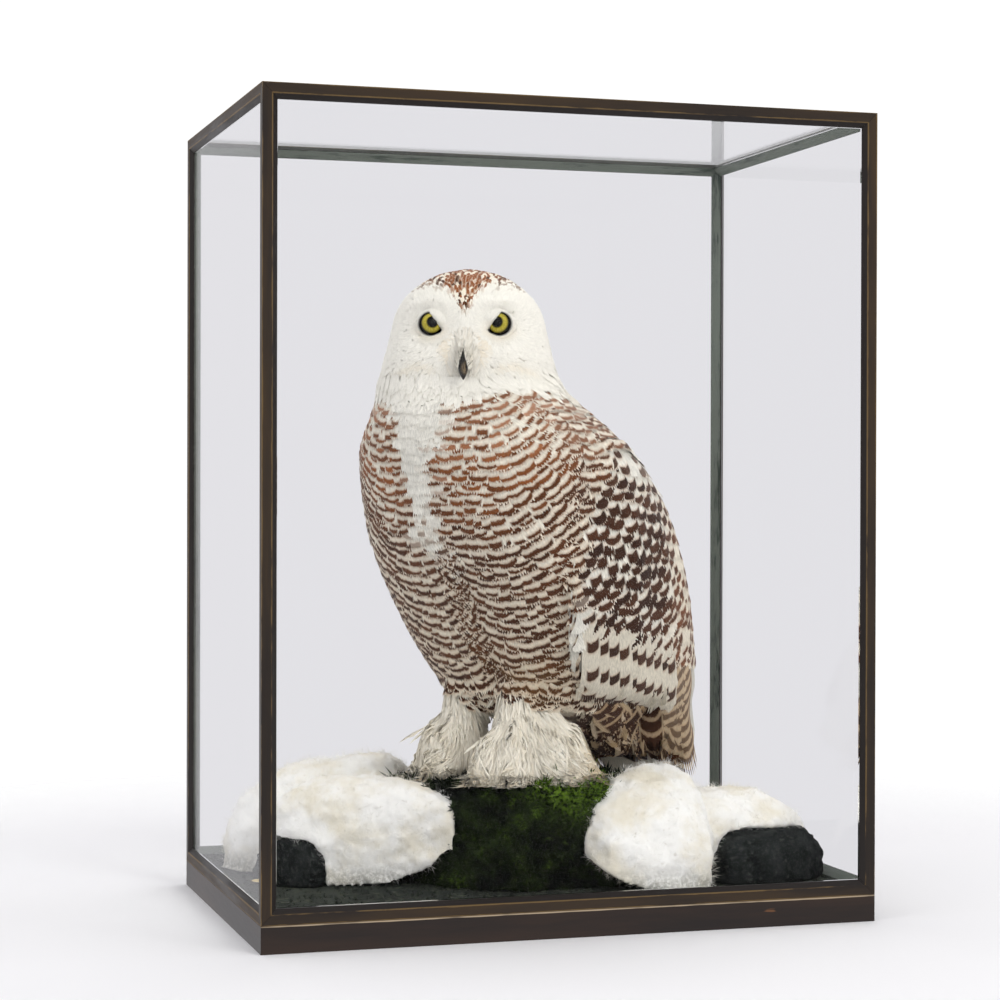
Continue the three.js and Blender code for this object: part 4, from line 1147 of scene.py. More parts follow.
def flight_coat(surface, material, side, name):
    """The long vanes of the folded wing, secondaries over primaries."""
    coat = Coat(name)
    ahead = 0 if side > 0 else -RIGHT_WING_BACK
    tips = np.concatenate([np.linspace(ahead - 33, -176, SECONDARIES), np.linspace(-190, -249, PRIMARIES)])
    tip_z = np.interp(tips, WING_EDGE_X, WING_EDGE_Z) - 4 - 8 * smooth(-190, -110, tips)
    root_x = np.concatenate([np.linspace(ahead + 3, -118, SECONDARIES), np.linspace(-128, -160, PRIMARIES)])
    root_z = 186 + 0.16 * root_x
    for k in range(len(tips) - 1, -1, -1):
        places, _, hit = wing_place(surface, root_x[k:k + 1], root_z[k:k + 1], side)
        if not hit.all():
            continue
        back, down = tips[k] - root_x[k], tip_z[k] - root_z[k]
        long = math.hypot(back, down) * VANE_SLACK
        primary = k >= SECONDARIES
        mark = mixed(UMBER, CHESTNUT, rng.uniform(0.1, 0.6, 1))
        if primary:
            base, width, strength = mixed(CREAM, TAN, [0.55]), 30, [0.75]
            bars = four([9 + rng.uniform(-3, 3)], BAR_STEP, 4.2, 16)
        else:
            base, width, strength = mixed(SHADED_WHITE, CREAM, [0.45]), 27, [1.0]
            first, spacing = spots_on((root_x[k], root_z[k]), (tips[k], tip_z[k]), long)
            bars = four([first], spacing, 5.4 * rng.uniform(0.9, 1.1), rng.uniform(6.4, 7.6))
        stack = len(tips) - k
        lay(coat, surface, places, owl_way(unit(np.array([[back, 0.0, down]]))), long, width, base,
            with_strength(mark, strength), bars, unwrap=np.array([[0.06 + 0.04 * k, 0.5]]), rows=12,
            strips=10, low=0.0008 + 0.00004 * stack, high=0.0014 + 0.00014 * stack, tip=0.10, narrow=0.7,
            camber=0.0012, fray=0.012, patch_long=VANE_PATCH, edge=0.85)
    coat.make(material)


TAIL_ROOT = np.array([-193.0, 0.0, 88.0])
TAIL_TIP = np.array([-250.0, 0.0, -24.0])


def tail_coat(surface, material):
    """The tail's vanes, fanned a little, on both of its faces."""
    coat = Coat("owl_tail_vanes")
    along = unit(TAIL_TIP - TAIL_ROOT)
    up = np.array([-along[2], 0.0, along[0]])
    up = up if up[2] > 0 else -up
    for face in (1, -1):
        for k, side in enumerate(np.linspace(-1, 1, 11)):
            aim = TAIL_ROOT + along * 6 + np.array([0.0, side * 36, 0.0])
            places, _, hit = surface.cast(from_owl(aim[None] / 1000), owl_way((up * face)[None]))
            if not hit.all():
                continue
            way = owl_way(unit(along + np.array([0.0, side * 0.16, 0.0]))[None])
            base = mixed(CREAM, TAN, [0.25 + 0.3 * rng.uniform()])
            mark = mixed(UMBER, CHESTNUT, [rng.uniform(0.2, 0.7)])
            bars = four([10 + rng.uniform(-2, 2)], BAR_STEP, 5.2, 20)
            stack = (1 - abs(side)) * 0.0012
            lay(coat, surface, places, way, 118 - 7 * side ** 2, 21, base, with_strength(mark, [0.85]), bars,
                unwrap=np.array([[0.1 + 0.07 * k, 0.5 + 0.25 * face]]), rows=9, strips=8,
                low=0.0006 + stack, high=0.0012 + stack, tip=0.12, narrow=0.75, camber=0.0008, fray=0.015,
                patch_long=VANE_PATCH, edge=0.6)
    coat.make(material)


# ---- Legs and feet --------------------------------------------------------------------------

def feet_coat(surface, material, side, name):
    """Shaggy locks down the leg and out over the toes, in three layers: broad, fine, and loose hair
    that leaves the skin."""
    coat = Coat(name)
    centre = np.array([2.0, 37.0 * side])

    def on_foot(points):
        local = owl_mm(points)
        near = np.hypot(local[:, 0] - 2, local[:, 1] - centre[1]) < 98
        return near & (local[:, 2] < 106) & (local[:, 2] > 4) & (local[:, 1] * side > -4)

    for spacing, long, wide, free, droop, highest in (
            (0.0040, 1.0, 0.09, 0.55, 0.10, 106), (0.0028, 0.9, 0.045, 0.55, 0.10, 106),
            (0.0036, 1.2, 0.05, 1.0, 0.25, 64)):
        places, normals = scattered(surface, spacing, on_foot)
        kept = (shares_at(surface, places)[:, 3] > 0.4) & (to_owl(places)[:, 2] * 1000 < highest)
        places, normals = only(kept, places, normals)
        local = owl_mm(places)
        count = len(places)
        out = np.concatenate([local[:, :2] - centre, np.zeros((count, 1))], -1)
        low = smooth(75, 20, local[:, 2])
        flow = unit(out) * (0.5 + 0.95 * low)[:, None] + np.array([0, 0, -1.0]) * (1.0 - 0.5 * low)[:, None]
        chance = rng.uniform(0, 1, count)
        reach = np.hypot(out[:, 0], out[:, 1])
        tan = smooth(40, 84, reach) * (0.3 + 0.7 * chance) + 0.35 * smooth(30, 8, local[:, 2]) * chance
        base = mixed(mixed(paint(244, 240, 226), CREAM, 0.1 + 0.4 * chance), STRAW, np.clip(tan, 0, 1) * 0.8)
        base = base * rng.uniform(0.93, 1.04, count)[:, None]
        length = long * np.interp(local[:, 2], [4, 25, 90], [21, 29, 30]) * rng.uniform(0.7, 1.25, count)
        ways = jitter_ways(owl_way(flow), normals, 16)
        lay(coat, surface, places, ways, length, length * wide, base, *plain_marks(count),
            unwrapped(np.arctan2(out[:, 1], out[:, 0]), local[:, 2]), strips=2, high=0.0034, low=0.0003,
            camber=0.0004, fray=0.22, hug=False, free=free, droop=droop,
            ground=OWL_PLACE[2] + 0.0008, loose=0.012)
    coat.make(material)


# ---- The case -------------------------------------------------------------------------------

CASE_HALF = (0.30875, 0.2025)
CASE_TOP = 0.8
FRAME_FOOT = 0.0263
CHIP_PLACE = (0.198, 0.0165)        # x and z of the chip in the plinth's front
CHIP_HALF = (0.011, 0.0022)
LABEL_PLACE = (-0.278, -0.064, 0.0448)
BLACK_WOOD = paint(26, 19, 14)


def worn_finish():
    """Uneven old finish: broad tone, fine grain, and rubbed places along an edge given as 0 to 1."""
    tree, given, out = new_group("worn_finish", "Place", ("Scale", "Edge"), ("Tone", "Grain", "Rubbed"))
    place, scale, edge = given.outputs["Place"], given.outputs["Scale"], given.outputs["Edge"]
    broad = noise_in(tree, place, scale, 4.0, 0.6)
    fine = noise_in(tree, place, times(tree, scale, 9.0), 3.0, 0.7)
    both = plus(tree, times(tree, broad, 0.6), times(tree, fine, 0.4))
    rubbed = plus(tree, both, times(tree, edge, 0.22))
    for label, height, low, high in (("Tone", broad, 0.32, 0.68), ("Grain", fine, 0.35, 0.65),
                                     ("Rubbed", rubbed, 0.62, 0.72)):
        tree.links.new(ramp(tree, height, low, high), out.inputs[label])
    return tree


WORN = worn_finish()


def distances_in(tree, place):
    """How deep a place lies inside the case's sides, front and back, and top and bottom."""
    axes = parts_of(tree, place)
    side, front = (minus(tree, half, sums(tree, "ABSOLUTE", axis)) for half, axis in zip(CASE_HALF, axes))
    up = least(tree, minus(tree, CASE_TOP, axes[2]), minus(tree, axes[2], FRAME_FOOT))
    return side, front, up


def worn_places(tree, place, stretch, scale, edge):
    """Tone, grain and rubbed places of old wood, with the grain drawn out along the bar."""
    worn = node(tree, "ShaderNodeGroup", {"Scale": scale, "Edge": edge}, node_tree=WORN)
    tree.links.new(stretched(tree, place, stretch), worn.inputs["Place"])
    return worn.outputs


def frame_material(name, stretch):
    material, tree, skin = new_material(name, 0.42, 0.35)
    place = object_place(tree)
    side, front, up = distances_in(tree, place)
    depth = least(tree, least(tree, side, front), up)
    outer = ramp(tree, depth, 0.0008, 0.0003)
    inner = ramp(tree, depth, 0.0066, 0.0074)
    near = least(tree, most(tree, side, front), least(tree, most(tree, side, up), most(tree, front, up)))
    edge = most(tree, ramp(tree, near, 0.0016, 0.0002), ramp(tree, near, 0.0082, 0.0096))
    tone, grain, rubbed = worn_places(tree, place, stretch, 34.0, edge)
    brown = blend(tree, tone, paint(31, 22, 14), paint(60, 45, 26))
    brown = blend(tree, times(tree, rubbed, 0.7), brown, paint(122, 98, 58))
    colour = blend(tree, outer, BLACK_WOOD, brown)
    green = blend(tree, tone, paint(44, 54, 48), paint(74, 84, 76))
    green = blend(tree, times(tree, rubbed, 0.35), green, paint(150, 156, 146))
    tree.links.new(plus(tree, times(tree, tone, 0.25), 0.36), skin.inputs["Roughness"])
    finish_skin(tree, skin, blend(tree, inner, colour, green), grain, 0.3, 0.0004)
    return material


def plinth_material(name, stretch):
    material, tree, skin = new_material(name, 0.4, 0.4)
    place = object_place(tree)
    x, y, z = parts_of(tree, place)
    edge = ramp(tree, z, 0.0235, 0.0262)
    front = ramp(tree, y, -0.2018, -0.2023)
    tone, grain, rubbed = worn_places(tree, place, stretch, 26.0, times(tree, edge, 0.4))
    wood = blend(tree, tone, paint(25, 16, 11), paint(46, 30, 19))
    wood = blend(tree, times(tree, rubbed, 0.5), wood, paint(98, 66, 40))
    slow = noise_in(tree, place, 22.0, 2.0)
    low = minus(tree, 0.0254, times(tree, slow, 0.0016))
    line = times(tree, ramp(tree, minus(tree, z, low), 0.0, 0.0005), front)
    line = times(tree, line, ramp(tree, slow, 0.2, 0.5))
    chip_x = sums(tree, "DIVIDE", minus(tree, x, CHIP_PLACE[0]), CHIP_HALF[0])
    chip_z = sums(tree, "DIVIDE", minus(tree, z, CHIP_PLACE[1]), CHIP_HALF[1])
    chip = plus(tree, times(tree, chip_x, chip_x), times(tree, chip_z, chip_z))
    chip = times(tree, ramp(tree, plus(tree, chip, grain), 1.2, 0.6), front)
    wood = blend(tree, times(tree, chip, 0.6), wood, paint(128, 84, 48))
    colour = blend(tree, times(tree, line, 0.8), wood, paint(196, 176, 146))
    finish_skin(tree, skin, colour, grain, 0.25, 0.0004)
    return material


def glass_material():
    material, tree, pane = new_material("clear_glass", 0.0, 0.5)
    pane.inputs["Base Color"].default_value = (0.985, 0.988, 0.99, 1)
    pane.inputs["IOR"].default_value = 1.1
    pane.inputs["Transmission Weight"].default_value = 1.0
    clear = node(tree, "ShaderNodeBsdfTransparent", {"Color": (0.98, 0.985, 0.985, 1)})
    mix = mixed_shaders(tree, node(tree, "ShaderNodeLightPath").outputs["Is Shadow Ray"], pane, clear)
    tree.links.new(mix.outputs[0], tree.nodes["Material Output"].inputs["Surface"])
    return material


def card_material():
    """A bare card disc, yellowed, with a darker rim."""
    material, tree, skin = new_material("label_card", 0.8, 0.2)
    place = object_place(tree)
    stain = ramp(tree, noise_in(tree, place, 160.0, 4.0), 0.35, 0.7)
    card = blend(tree, stain, paint(214, 196, 140), paint(176, 152, 96))
    rim = ramp(tree, distance_to(tree, place, LABEL_PLACE), 0.0098, 0.0104)
    finish_skin(tree, skin, blend(tree, rim, card, paint(66, 54, 34)))
    return material


def dress(name, material):
    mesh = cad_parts[name].data
    mesh.materials.clear()
    mesh.materials.append(material)


def build_case():
    along = {"x": (0.12, 1, 1), "y": (1, 0.12, 1), "z": (1, 1, 0.12)}
    bars = {axis: frame_material("frame_bars_" + axis, scale) for axis, scale in along.items()}
    plinths = {axis: plinth_material("plinth_wood_" + axis, along[axis]) for axis in "xy"}
    glass = glass_material()
    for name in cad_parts:
        words = name.split("_")
        if name.startswith("case_post"):
            dress(name, bars["z"])
        elif name.startswith("case_rail"):
            dress(name, bars["x" if words[-1] in ("front", "back") else "y"])
        elif name.startswith("case_plinth"):
            dress(name, plinths["x" if words[-1] in ("front", "back") else "y"])
        elif name.startswith("case_glass"):
            dress(name, glass)
    dress("case_base_board", plinths["x"])
    dress("case_label", card_material())


# ---- Ground, moss, rocks and cotton snow ----------------------------------------------------

HEAP_FOOT = 0.0333       # height where the heaps meet the bed
CLEAR_OF_BED = 0.036     # height from which moss and fibres grow
MOUND_TOP = 0.1325       # just over the perch, which the feet stand on


def fractal(points, scale, octaves, seed):
    shift = Vector((seed * 7.3, seed * 3.1, seed * 5.7))
    return np.array([noise.fractal(Vector(point) * scale + shift, 0.7, 2.1, octaves)
                     for point in points.tolist()])


def roughened(name, nodes, voxel, passes, waves, top=1.0):
    """Fine version of a heap: its CAD shape made smooth, then moved along its normals by waves of
    (scale, height, octaves). No part rises above top."""
    piece = remeshed(merged_copy(name, nodes), voxel, passes)
    points, faces = mesh_arrays(piece.data)
    surface = Surface(points, faces)
    inside = smooth(0.0335, 0.0365, points[:, 2])
    for number, (scale, height, octaves) in enumerate(waves):
        offset = fractal(points, scale, octaves, number + len(name)) * height
        points = points + surface.normals * (offset * inside)[:, None]
    points[:, 2] = np.clip(points[:, 2], HEAP_FOOT, top)
    move_points(piece, points)
    soften(piece.data)
    return piece


def settle(piece, material, slot, nodes):
    piece.data.materials.clear()
    piece.data.materials.append(material)
    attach(piece, "root")
    if nodes:
        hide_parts(*nodes)


def cotton_material():
    material, tree, skin = new_material("cotton_snow", 0.9, 0.08)
    skin.inputs["Sheen Weight"].default_value = 0.2
    place = object_place(tree)
    broad = noise_in(tree, place, 16.0, 4.0, 0.6)
    fine = noise_in(tree, place, 260.0, 3.0, 0.65)
    colour = blend(tree, ramp(tree, broad, 0.42, 0.66), paint(245, 244, 239), paint(232, 226, 209))
    # Painted shade: the cotton is darker in patches towards the foot of each heap, where it meets the bed.
    low = times(tree, ramp(tree, parts_of(tree, place)[2], 0.062, 0.036), 0.55)
    foot_shade = times(tree, low, ramp(tree, fine, 0.35, 0.6))
    colour = blend(tree, foot_shade, colour, paint(120, 118, 100))
    speck = times(tree, ramp(tree, fine, 0.38, 0.3), 0.35)
    finish_skin(tree, skin, blend(tree, speck, colour, paint(176, 168, 150)), fine, 0.5, 0.0012)
    return material


def earth_material(name, first, second, third, scale):
    """Rough ground of three tones."""
    material, tree, skin = new_material(name, 0.92, 0.12)
    place = object_place(tree)
    broad = noise_in(tree, place, scale, 5.0, 0.65)
    fine = noise_in(tree, place, scale * 9, 4.0, 0.7)
    colour = blend(tree, ramp(tree, broad, 0.4, 0.62), first, second)
    colour = blend(tree, ramp(tree, fine, 0.52, 0.68), colour, third)
    finish_skin(tree, skin, colour, fine, 0.8, 0.002)
    return material


def moss_material(name, dark, green, bright):
    """Moss, with painted light brightest on the front of the mound under the near foot, and brighter patches
    at random.
    """
    material, tree, skin = new_material(name, 0.85, 0.2)
    place = object_place(tree)
    broad = noise_in(tree, place, 34.0, 5.0, 0.65)
    fine = noise_in(tree, place, 300.0, 2.0)
    # Painted light: a pool of brighter moss round a point over the front of the mound, joined with brighter
    # patches at random.
    away = distance_to(tree, stretched(tree, place, (1, 0.55, 1.35)), (0.026, -0.06, 0.187))
    lit = ramp(tree, plus(tree, away, times(tree, broad, 0.16)), 0.150, 0.090)
    lit_and_patchy = most(tree, lit, times(tree, ramp(tree, broad, 0.56, 0.72), 0.45))
    colour = blend(tree, ramp(tree, broad, 0.38, 0.6), dark, green)
    colour = blend(tree, times(tree, lit_and_patchy, ramp(tree, fine, 0.35, 0.6)), colour, bright)
    finish_skin(tree, skin, colour, fine, 0.9, 0.002)
    return material


def blade_cluster(name, blades, length, width, spread, bend):
    """A small tuft of tapering blades on one root, a few faces each."""
    points, faces = [], []
    for _ in range(blades):
        turn, lean = rng.uniform(0, 2 * math.pi), rng.uniform(0.1, spread)
        long = length * rng.uniform(0.6, 1.1)
        ahead = np.array([math.cos(turn), math.sin(turn), 0.0])
        side = np.array([-math.sin(turn), math.cos(turn), 0.0]) * width / 2
        start = len(points)
        for k, thick in enumerate((0.6, 1.0, 0.0)):
            t = k / 2
            middle = ahead * long * (math.sin(lean) * t + bend * t * t)
            middle = middle + np.array([0, 0, long * t * math.cos(lean)]) + np.array([0, 0, -0.0006])
            points += [middle] if thick == 0 else [middle - side * thick, middle + side * thick]
        faces += [(start, start + 1, start + 3, start + 2), (start + 2, start + 3, start + 4)]
    return linked(name, mesh_of(name, points, faces))


def scatter_tree():
    """Spreads one small piece over a surface, standing on it with a random turn, tilt and size."""
    tree = bpy.data.node_groups.new("scatter", "GeometryNodeTree")
    kinds = {"Ground": "Geometry", "Piece": "Object", "Density": "Float", "Tilt": "Float",
             "Smallest": "Float", "Largest": "Float", "Lowest": "Float", "Seed": "Int", "Finish": "Material"}
    for label, kind in kinds.items():
        tree.interface.new_socket(label, in_out="INPUT", socket_type="NodeSocket" + kind)
    tree.interface.new_socket("Result", in_out="OUTPUT", socket_type="NodeSocketGeometry")
    given, out = tree.nodes.new("NodeGroupInput").outputs, tree.nodes.new("NodeGroupOutput")
    height = parts_of(tree, node(tree, "GeometryNodeInputPosition").outputs[0])[2]
    high = node(tree, "FunctionNodeCompare", {0: height, 1: given["Lowest"]},
                data_type="FLOAT", operation="GREATER_THAN")
    spread = node(tree, "GeometryNodeDistributePointsOnFaces",
                  {"Mesh": given["Ground"], "Selection": high.outputs[0], "Density": given["Density"],
                   "Seed": given["Seed"]})
    piece = node(tree, "GeometryNodeObjectInfo", {"Object": given["Piece"]})
    lean = node(tree, "ShaderNodeCombineXYZ", {0: given["Tilt"], 1: given["Tilt"], 2: math.pi})
    back = node(tree, "ShaderNodeVectorMath", {0: lean.outputs[0], "Scale": -1.0}, operation="SCALE")
    turn = node(tree, "FunctionNodeRandomValue",
                {0: back.outputs[0], 1: lean.outputs[0], "Seed": given["Seed"]}, data_type="FLOAT_VECTOR")
    euler = node(tree, "FunctionNodeEulerToRotation", {0: turn.outputs[0]})
    turned_piece = node(tree, "FunctionNodeRotateRotation",
                        {0: spread.outputs["Rotation"], 1: euler.outputs[0]}, rotation_space="LOCAL")
    size = node(tree, "FunctionNodeRandomValue",
                {2: given["Smallest"], 3: given["Largest"], "Seed": given["Seed"]}, data_type="FLOAT")
    placed = node(tree, "GeometryNodeInstanceOnPoints",
                  {"Points": spread.outputs["Points"], "Instance": piece.outputs["Geometry"],
                   "Rotation": turned_piece.outputs[0], "Scale": size.outputs[1]})
    real = node(tree, "GeometryNodeRealizeInstances", {0: placed.outputs[0]})
    dressed = node(tree, "GeometryNodeSetMaterial", {0: real.outputs[0], "Material": given["Finish"]})
    tree.links.new(dressed.outputs[0], out.inputs[0])
    return tree


SCATTER = scatter_tree()


def strewn(name, ground, slot, **inputs):
    """The scatter tree's result over a piece, as a plain mesh that rides on the case."""
    piece = linked(name, ground.data.copy())
    spread = piece.modifiers.new("scatter", "NODES")
    spread.node_group = SCATTER
    for socket in SCATTER.interface.items_tree:
        if socket.in_out == "INPUT" and socket.name in inputs:
            spread[socket.identifier] = inputs[socket.name]
    finished(piece)
    mesh = piece.data
    points, _ = mesh_arrays(mesh)
    for layer in list(mesh.uv_layers):
        mesh.uv_layers.remove(layer)
    loops = np.empty(len(mesh.loops), int)
    mesh.loops.foreach_get("vertex_index", loops)
    plan = unwrapped(points[:, 0] + 0.3 * points[:, 2], points[:, 1] + 0.3 * points[:, 2])
    set_values(mesh.uv_layers.new(name="OFBake"), "uv", plan[loops])
    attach(piece, "root")


def build_ground():
    cotton = cotton_material()
    stone = earth_material("slate_rock", paint(20, 22, 22), paint(38, 41, 40), paint(62, 66, 62), 26.0)
    earth = earth_material("dark_earth", paint(42, 46, 42), paint(58, 62, 56), paint(82, 86, 72), 18.0)
    moss = moss_material("moss", paint(13, 17, 11), paint(34, 46, 18), paint(108, 140, 40))
    dress("ground_bed", earth)
    heaps = {}
    for name in ("snow_left_front", "snow_left_rear", "snow_right"):
        waves = ((14.0, 0.0045, 3), (60.0, 0.0020, 3))
        heaps[name] = roughened(name + "_cotton", [name], 0.0026, 4, waves)
        settle(heaps[name], cotton, "cotton_snow", [name])
    for name in ("rock_left", "rock_right"):
        settle(roughened(name + "_stone", [name], 0.0028, 2, ((30.0, 0.004, 4), (110.0, 0.0018, 3))),
               stone, "rock", [name])
    mound = roughened("mound_earth", ["ground_mound"], 0.003, 4, ((16.0, 0.017, 4), (60.0, 0.006, 4)),
                      top=MOUND_TOP)
    points, _ = mesh_arrays(mound.data)
    # A bank of moss before the near foot, and a left end that keeps clear of the left heap.
    bank = np.exp(-((points[:, 0] - 0.036) / 0.030) ** 2) * smooth(-0.078, -0.098, points[:, 1])
    points[:, 2] += 0.022 * bank * smooth(0.085, 0.12, points[:, 2])
    points[:, 1] += 0.016 * smooth(-0.085, -0.115, points[:, 0])
    move_points(mound, points)
    settle(mound, moss, "moss", ["ground_mound"])

    sprig = blade_cluster("sprig", 7, 0.0075, 0.0012, 1.0, 0.25)
    strewn("mound_moss", mound, "moss", Piece=sprig, Density=60000.0, Tilt=0.6, Smallest=0.6, Largest=1.5,
           Lowest=CLEAR_OF_BED, Seed=3, Finish=moss)
    strewn("mound_tufts", mound, "moss", Piece=sprig, Density=9000.0, Tilt=0.5, Smallest=1.4, Largest=2.6,
           Lowest=0.122, Seed=8, Finish=moss)
    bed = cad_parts["ground_bed"]
    top = bmesh.new()
    top.from_mesh(bed.data)
    bmesh.ops.delete(top, geom=[f for f in top.faces if f.normal.z < 0.5], context="FACES")
    mesh = bpy.data.meshes.new("ground_top")
    top.to_mesh(mesh)
    top.free()
    flat = bpy.data.objects.new("ground_top", mesh)
    strewn("ground_grit", flat, "ground", Piece=sprig, Density=21000.0, Tilt=0.9, Smallest=0.25,
           Largest=0.6, Lowest=0.03, Seed=5, Finish=earth)
    wisp = blade_cluster("wisp", 3, 0.0095, 0.00035, 1.3, 0.7)
    for number, (name, heap) in enumerate(heaps.items()):
        strewn(name + "_fibres", heap, "cotton_snow", Piece=wisp, Density=52000.0, Tilt=1.25,
               Smallest=0.35, Largest=1.0, Lowest=CLEAR_OF_BED, Seed=11 + number, Finish=cotton)
    for spare in (sprig, wisp, flat):
        bpy.data.objects.remove(spare)


# ---- Eyes, bill and claws -------------------------------------------------------------------

EYE_STEPS = 48
PUPIL = 5.2              # mm, radii seen from the front
IRIS = 10.0
EYE_INWARD = math.radians(7)      # which way the opening of the lids faces
EYE_UP = math.radians(4)
GAZE_INWARD = math.radians(14)    # which way the eye itself looks
GAZE_UP = math.radians(10)


def eye_material():
    material, tree, skin = new_material("glass_eye", 0.25, 0.05)
    skin.inputs["Coat Weight"].default_value = 0.3
    skin.inputs["Coat Roughness"].default_value = 0.02
    ring = attribute(tree, "eye_ring")
    out, around, _ = parts_of(tree, ring.outputs["Vector"])
    rays = node(tree, "ShaderNodeCombineXYZ", {0: times(tree, around, 9.0), 1: times(tree, out, 0.35)})
    fibres = noise_in(tree, rays.outputs[0], 1.0, 3.0)
    iris = blend(tree, ramp(tree, fibres, 0.3, 0.7), paint(146, 134, 36), paint(196, 182, 74))
    for low, high, tone in ((8.2, 10.2, paint(96, 86, 26)), (PUPIL + 1.4, PUPIL + 0.4, paint(96, 86, 20)),
                            (IRIS - 0.3, IRIS + 0.3, paint(12, 10, 8)),
                            (PUPIL + 0.4, PUPIL - 0.3, paint(8, 7, 6))):
        iris = blend(tree, ramp(tree, out, low, high), iris, tone)
    finish_skin(tree, skin, iris)
    return material


def eye_frame(side, inward=EYE_INWARD, up=EYE_UP):
    """An eye's own axes: where it looks, towards the bill, and up, in the head's frame."""
    look = np.array([math.cos(inward) * math.cos(up), -side * math.sin(inward), math.sin(up)])
    look = look / np.linalg.norm(look)
    inner = np.cross(np.array([0.0, 0.0, 1.0]), look) * -side
    inner = inner / np.linalg.norm(inner)
    lift = np.cross(look, inner)
    lift = lift if lift[2] > 0 else -lift
    return look, inner, lift


def build_eye(side, word, material):
    look, inner, lift = eye_frame(side, GAZE_INWARD, GAZE_UP)
    radius = EYE_RADIUS * 1000 - 0.05
    points, rings, faces = [], [], []
    levels = 30
    for k in range(levels + 1):
        angle = math.pi * k / levels
        out = radius * math.sin(angle)
        swell = 0.5 * math.exp(-(out / 8.5) ** 4) if angle < math.pi / 2 else 0
        steps = 1 if k in (0, levels) else EYE_STEPS
        for i in range(steps):
            turn = 2 * math.pi * i / EYE_STEPS
            points.append(look * (radius * math.cos(angle) + swell) + inner * out * math.cos(turn)
                          + lift * out * math.sin(turn))
            seen = out if angle < math.pi / 2 else 2 * radius - out
            rings.append((seen, turn, 0.0))
    last = len(points) - 1
    for i in range(EYE_STEPS):
        j = (i + 1) % EYE_STEPS
        faces.append((0, 1 + i, 1 + j))
        faces.append((last, last - EYE_STEPS + j, last - EYE_STEPS + i))
        for k in range(levels - 2):
            a = 1 + k * EYE_STEPS
            faces.append((a + i, a + EYE_STEPS + i, a + EYE_STEPS + j, a + j))
    places = from_head((np.array(points) + eye_centre(side)) / 1000)
    mesh = mesh_of("owl_eye_glass_" + word, places, faces)
    shell = bmesh.new()
    shell.from_mesh(mesh)
    bmesh.ops.recalc_face_normals(shell, faces=shell.faces)
    shell.to_mesh(mesh)
    shell.free()
    set_values(mesh.attributes.new("eye_ring", "FLOAT_VECTOR", "POINT"), "vector", rings)
    soften(mesh)
    settle(linked("owl_eye_glass_" + word, mesh), material, "glass_eye", ["owl_eye_" + word])


BROW_CUT = 5.3           # how near the brow's straight edge passes to the middle of the eye
BROW_TILT = 36           # degrees from the bill's side up to where it is nearest
LID_REACH = 15.0         # how far from the middle of the eye the lids run out into the face


def signed_degrees(turn):
    """An angle in degrees, from -180 to 180."""
    return (np.degrees(turn) + 180) % 360 - 180


def round_eye(side, turn, out):
    """Places round an eye's middle, by their angle from the bill's side and how far out they lie."""
    _, inner, lift = eye_frame(side)
    return (eye_centre(side) + np.outer(np.cos(turn), inner) * out[:, None]
            + np.outer(np.sin(turn), lift) * out[:, None])


def cast_at_head(surface, starts, way):
    """Where rays from places in the head's frame, in mm, all one way, meet the surface."""
    return surface.cast(from_head(starts / 1000), head_way(np.broadcast_to(way, starts.shape)))


def opening(turn):
    """The edge of the lids round an eye, from the bill's side up over the brow: a circle that a
    straight brow cuts off, with a pointed inner corner."""
    degrees = signed_degrees(turn)
    chord = BROW_CUT / np.cos(np.radians(np.clip(degrees - BROW_TILT, -64, 64)))
    corner = 10.9 + 1.5 * smooth(-62, -28, degrees) * smooth(-10, -28, degrees)
    return np.where(np.abs(degrees - BROW_TILT) < 65, np.minimum(chord, corner), corner)


def brow_share(turn):
    """1 along the brow's straight edge, and 0 round the rest of the opening."""
    degrees = signed_degrees(turn)
    return smooth(-30, -16, degrees) * smooth(100, 84, degrees)


def lid_surface(surface, side):
    """The ring of bare and feathered lid between the eye's opening and the face."""
    look, inner, lift = eye_frame(side)
    centre = eye_centre(side)
    turns = np.linspace(0, 2 * math.pi, 64, endpoint=False)
    edge = opening(turns)
    starts = centre + np.outer(np.cos(turns) * LID_REACH, inner) + np.outer(np.sin(turns) * LID_REACH, lift)
    starts = starts + look * 45
    places, _, _ = cast_at_head(surface, starts, -look)
    rim_depth = (head_mm(places) - centre) @ look
    columns = (0.0, 0.12, 0.3, 0.55, 0.8, 1.0)
    radius = EYE_RADIUS * 1000
    points = []
    for t in columns:
        out = edge + (LID_REACH - edge) * t
        on_eye = np.sqrt(np.maximum((radius + 0.6) ** 2 - np.minimum(edge, radius) ** 2, 1.0))
        brow = np.exp(-((np.degrees(turns) - BROW_TILT) / 40) ** 2)
        lip = 0.3 * np.sin(np.pi * min(t * 2.2, 1.0))
        depth = on_eye * (1 - smooth(0, 1, t)) + (rim_depth + 0.1) * smooth(0, 1, t) + lip
        depth = depth + brow * 1.5 * np.sin(np.pi * t ** 0.6)
        if t == 0.0:
            depth = on_eye - 1.0
        points.append(round_eye(side, turns, out) + depth[:, None] * look)
    count = len(turns)
    faces = []
    for k in range(len(columns) - 1):
        for i in range(count):
            a, b = k * count + i, k * count + (i + 1) % count
            faces += [(a, b, b + count), (a, b + count, a + count)]
    faces = np.array(faces)
    if side > 0:
        faces = faces[:, ::-1]
    local = np.concatenate(points)
    lid = Surface(from_head(local / 1000), faces)
    if (to_head(lid.points + lid.normals * 0.001) - to_head(lid.points)).mean(0)[0] < 0:
        lid = Surface(lid.points, faces[:, ::-1])
    lid.brow = np.tile(brow_share(turns), len(columns))
    lid.edge = (np.array(columns)[:, None] * (LID_REACH - edge)[None]).ravel()
    return lid


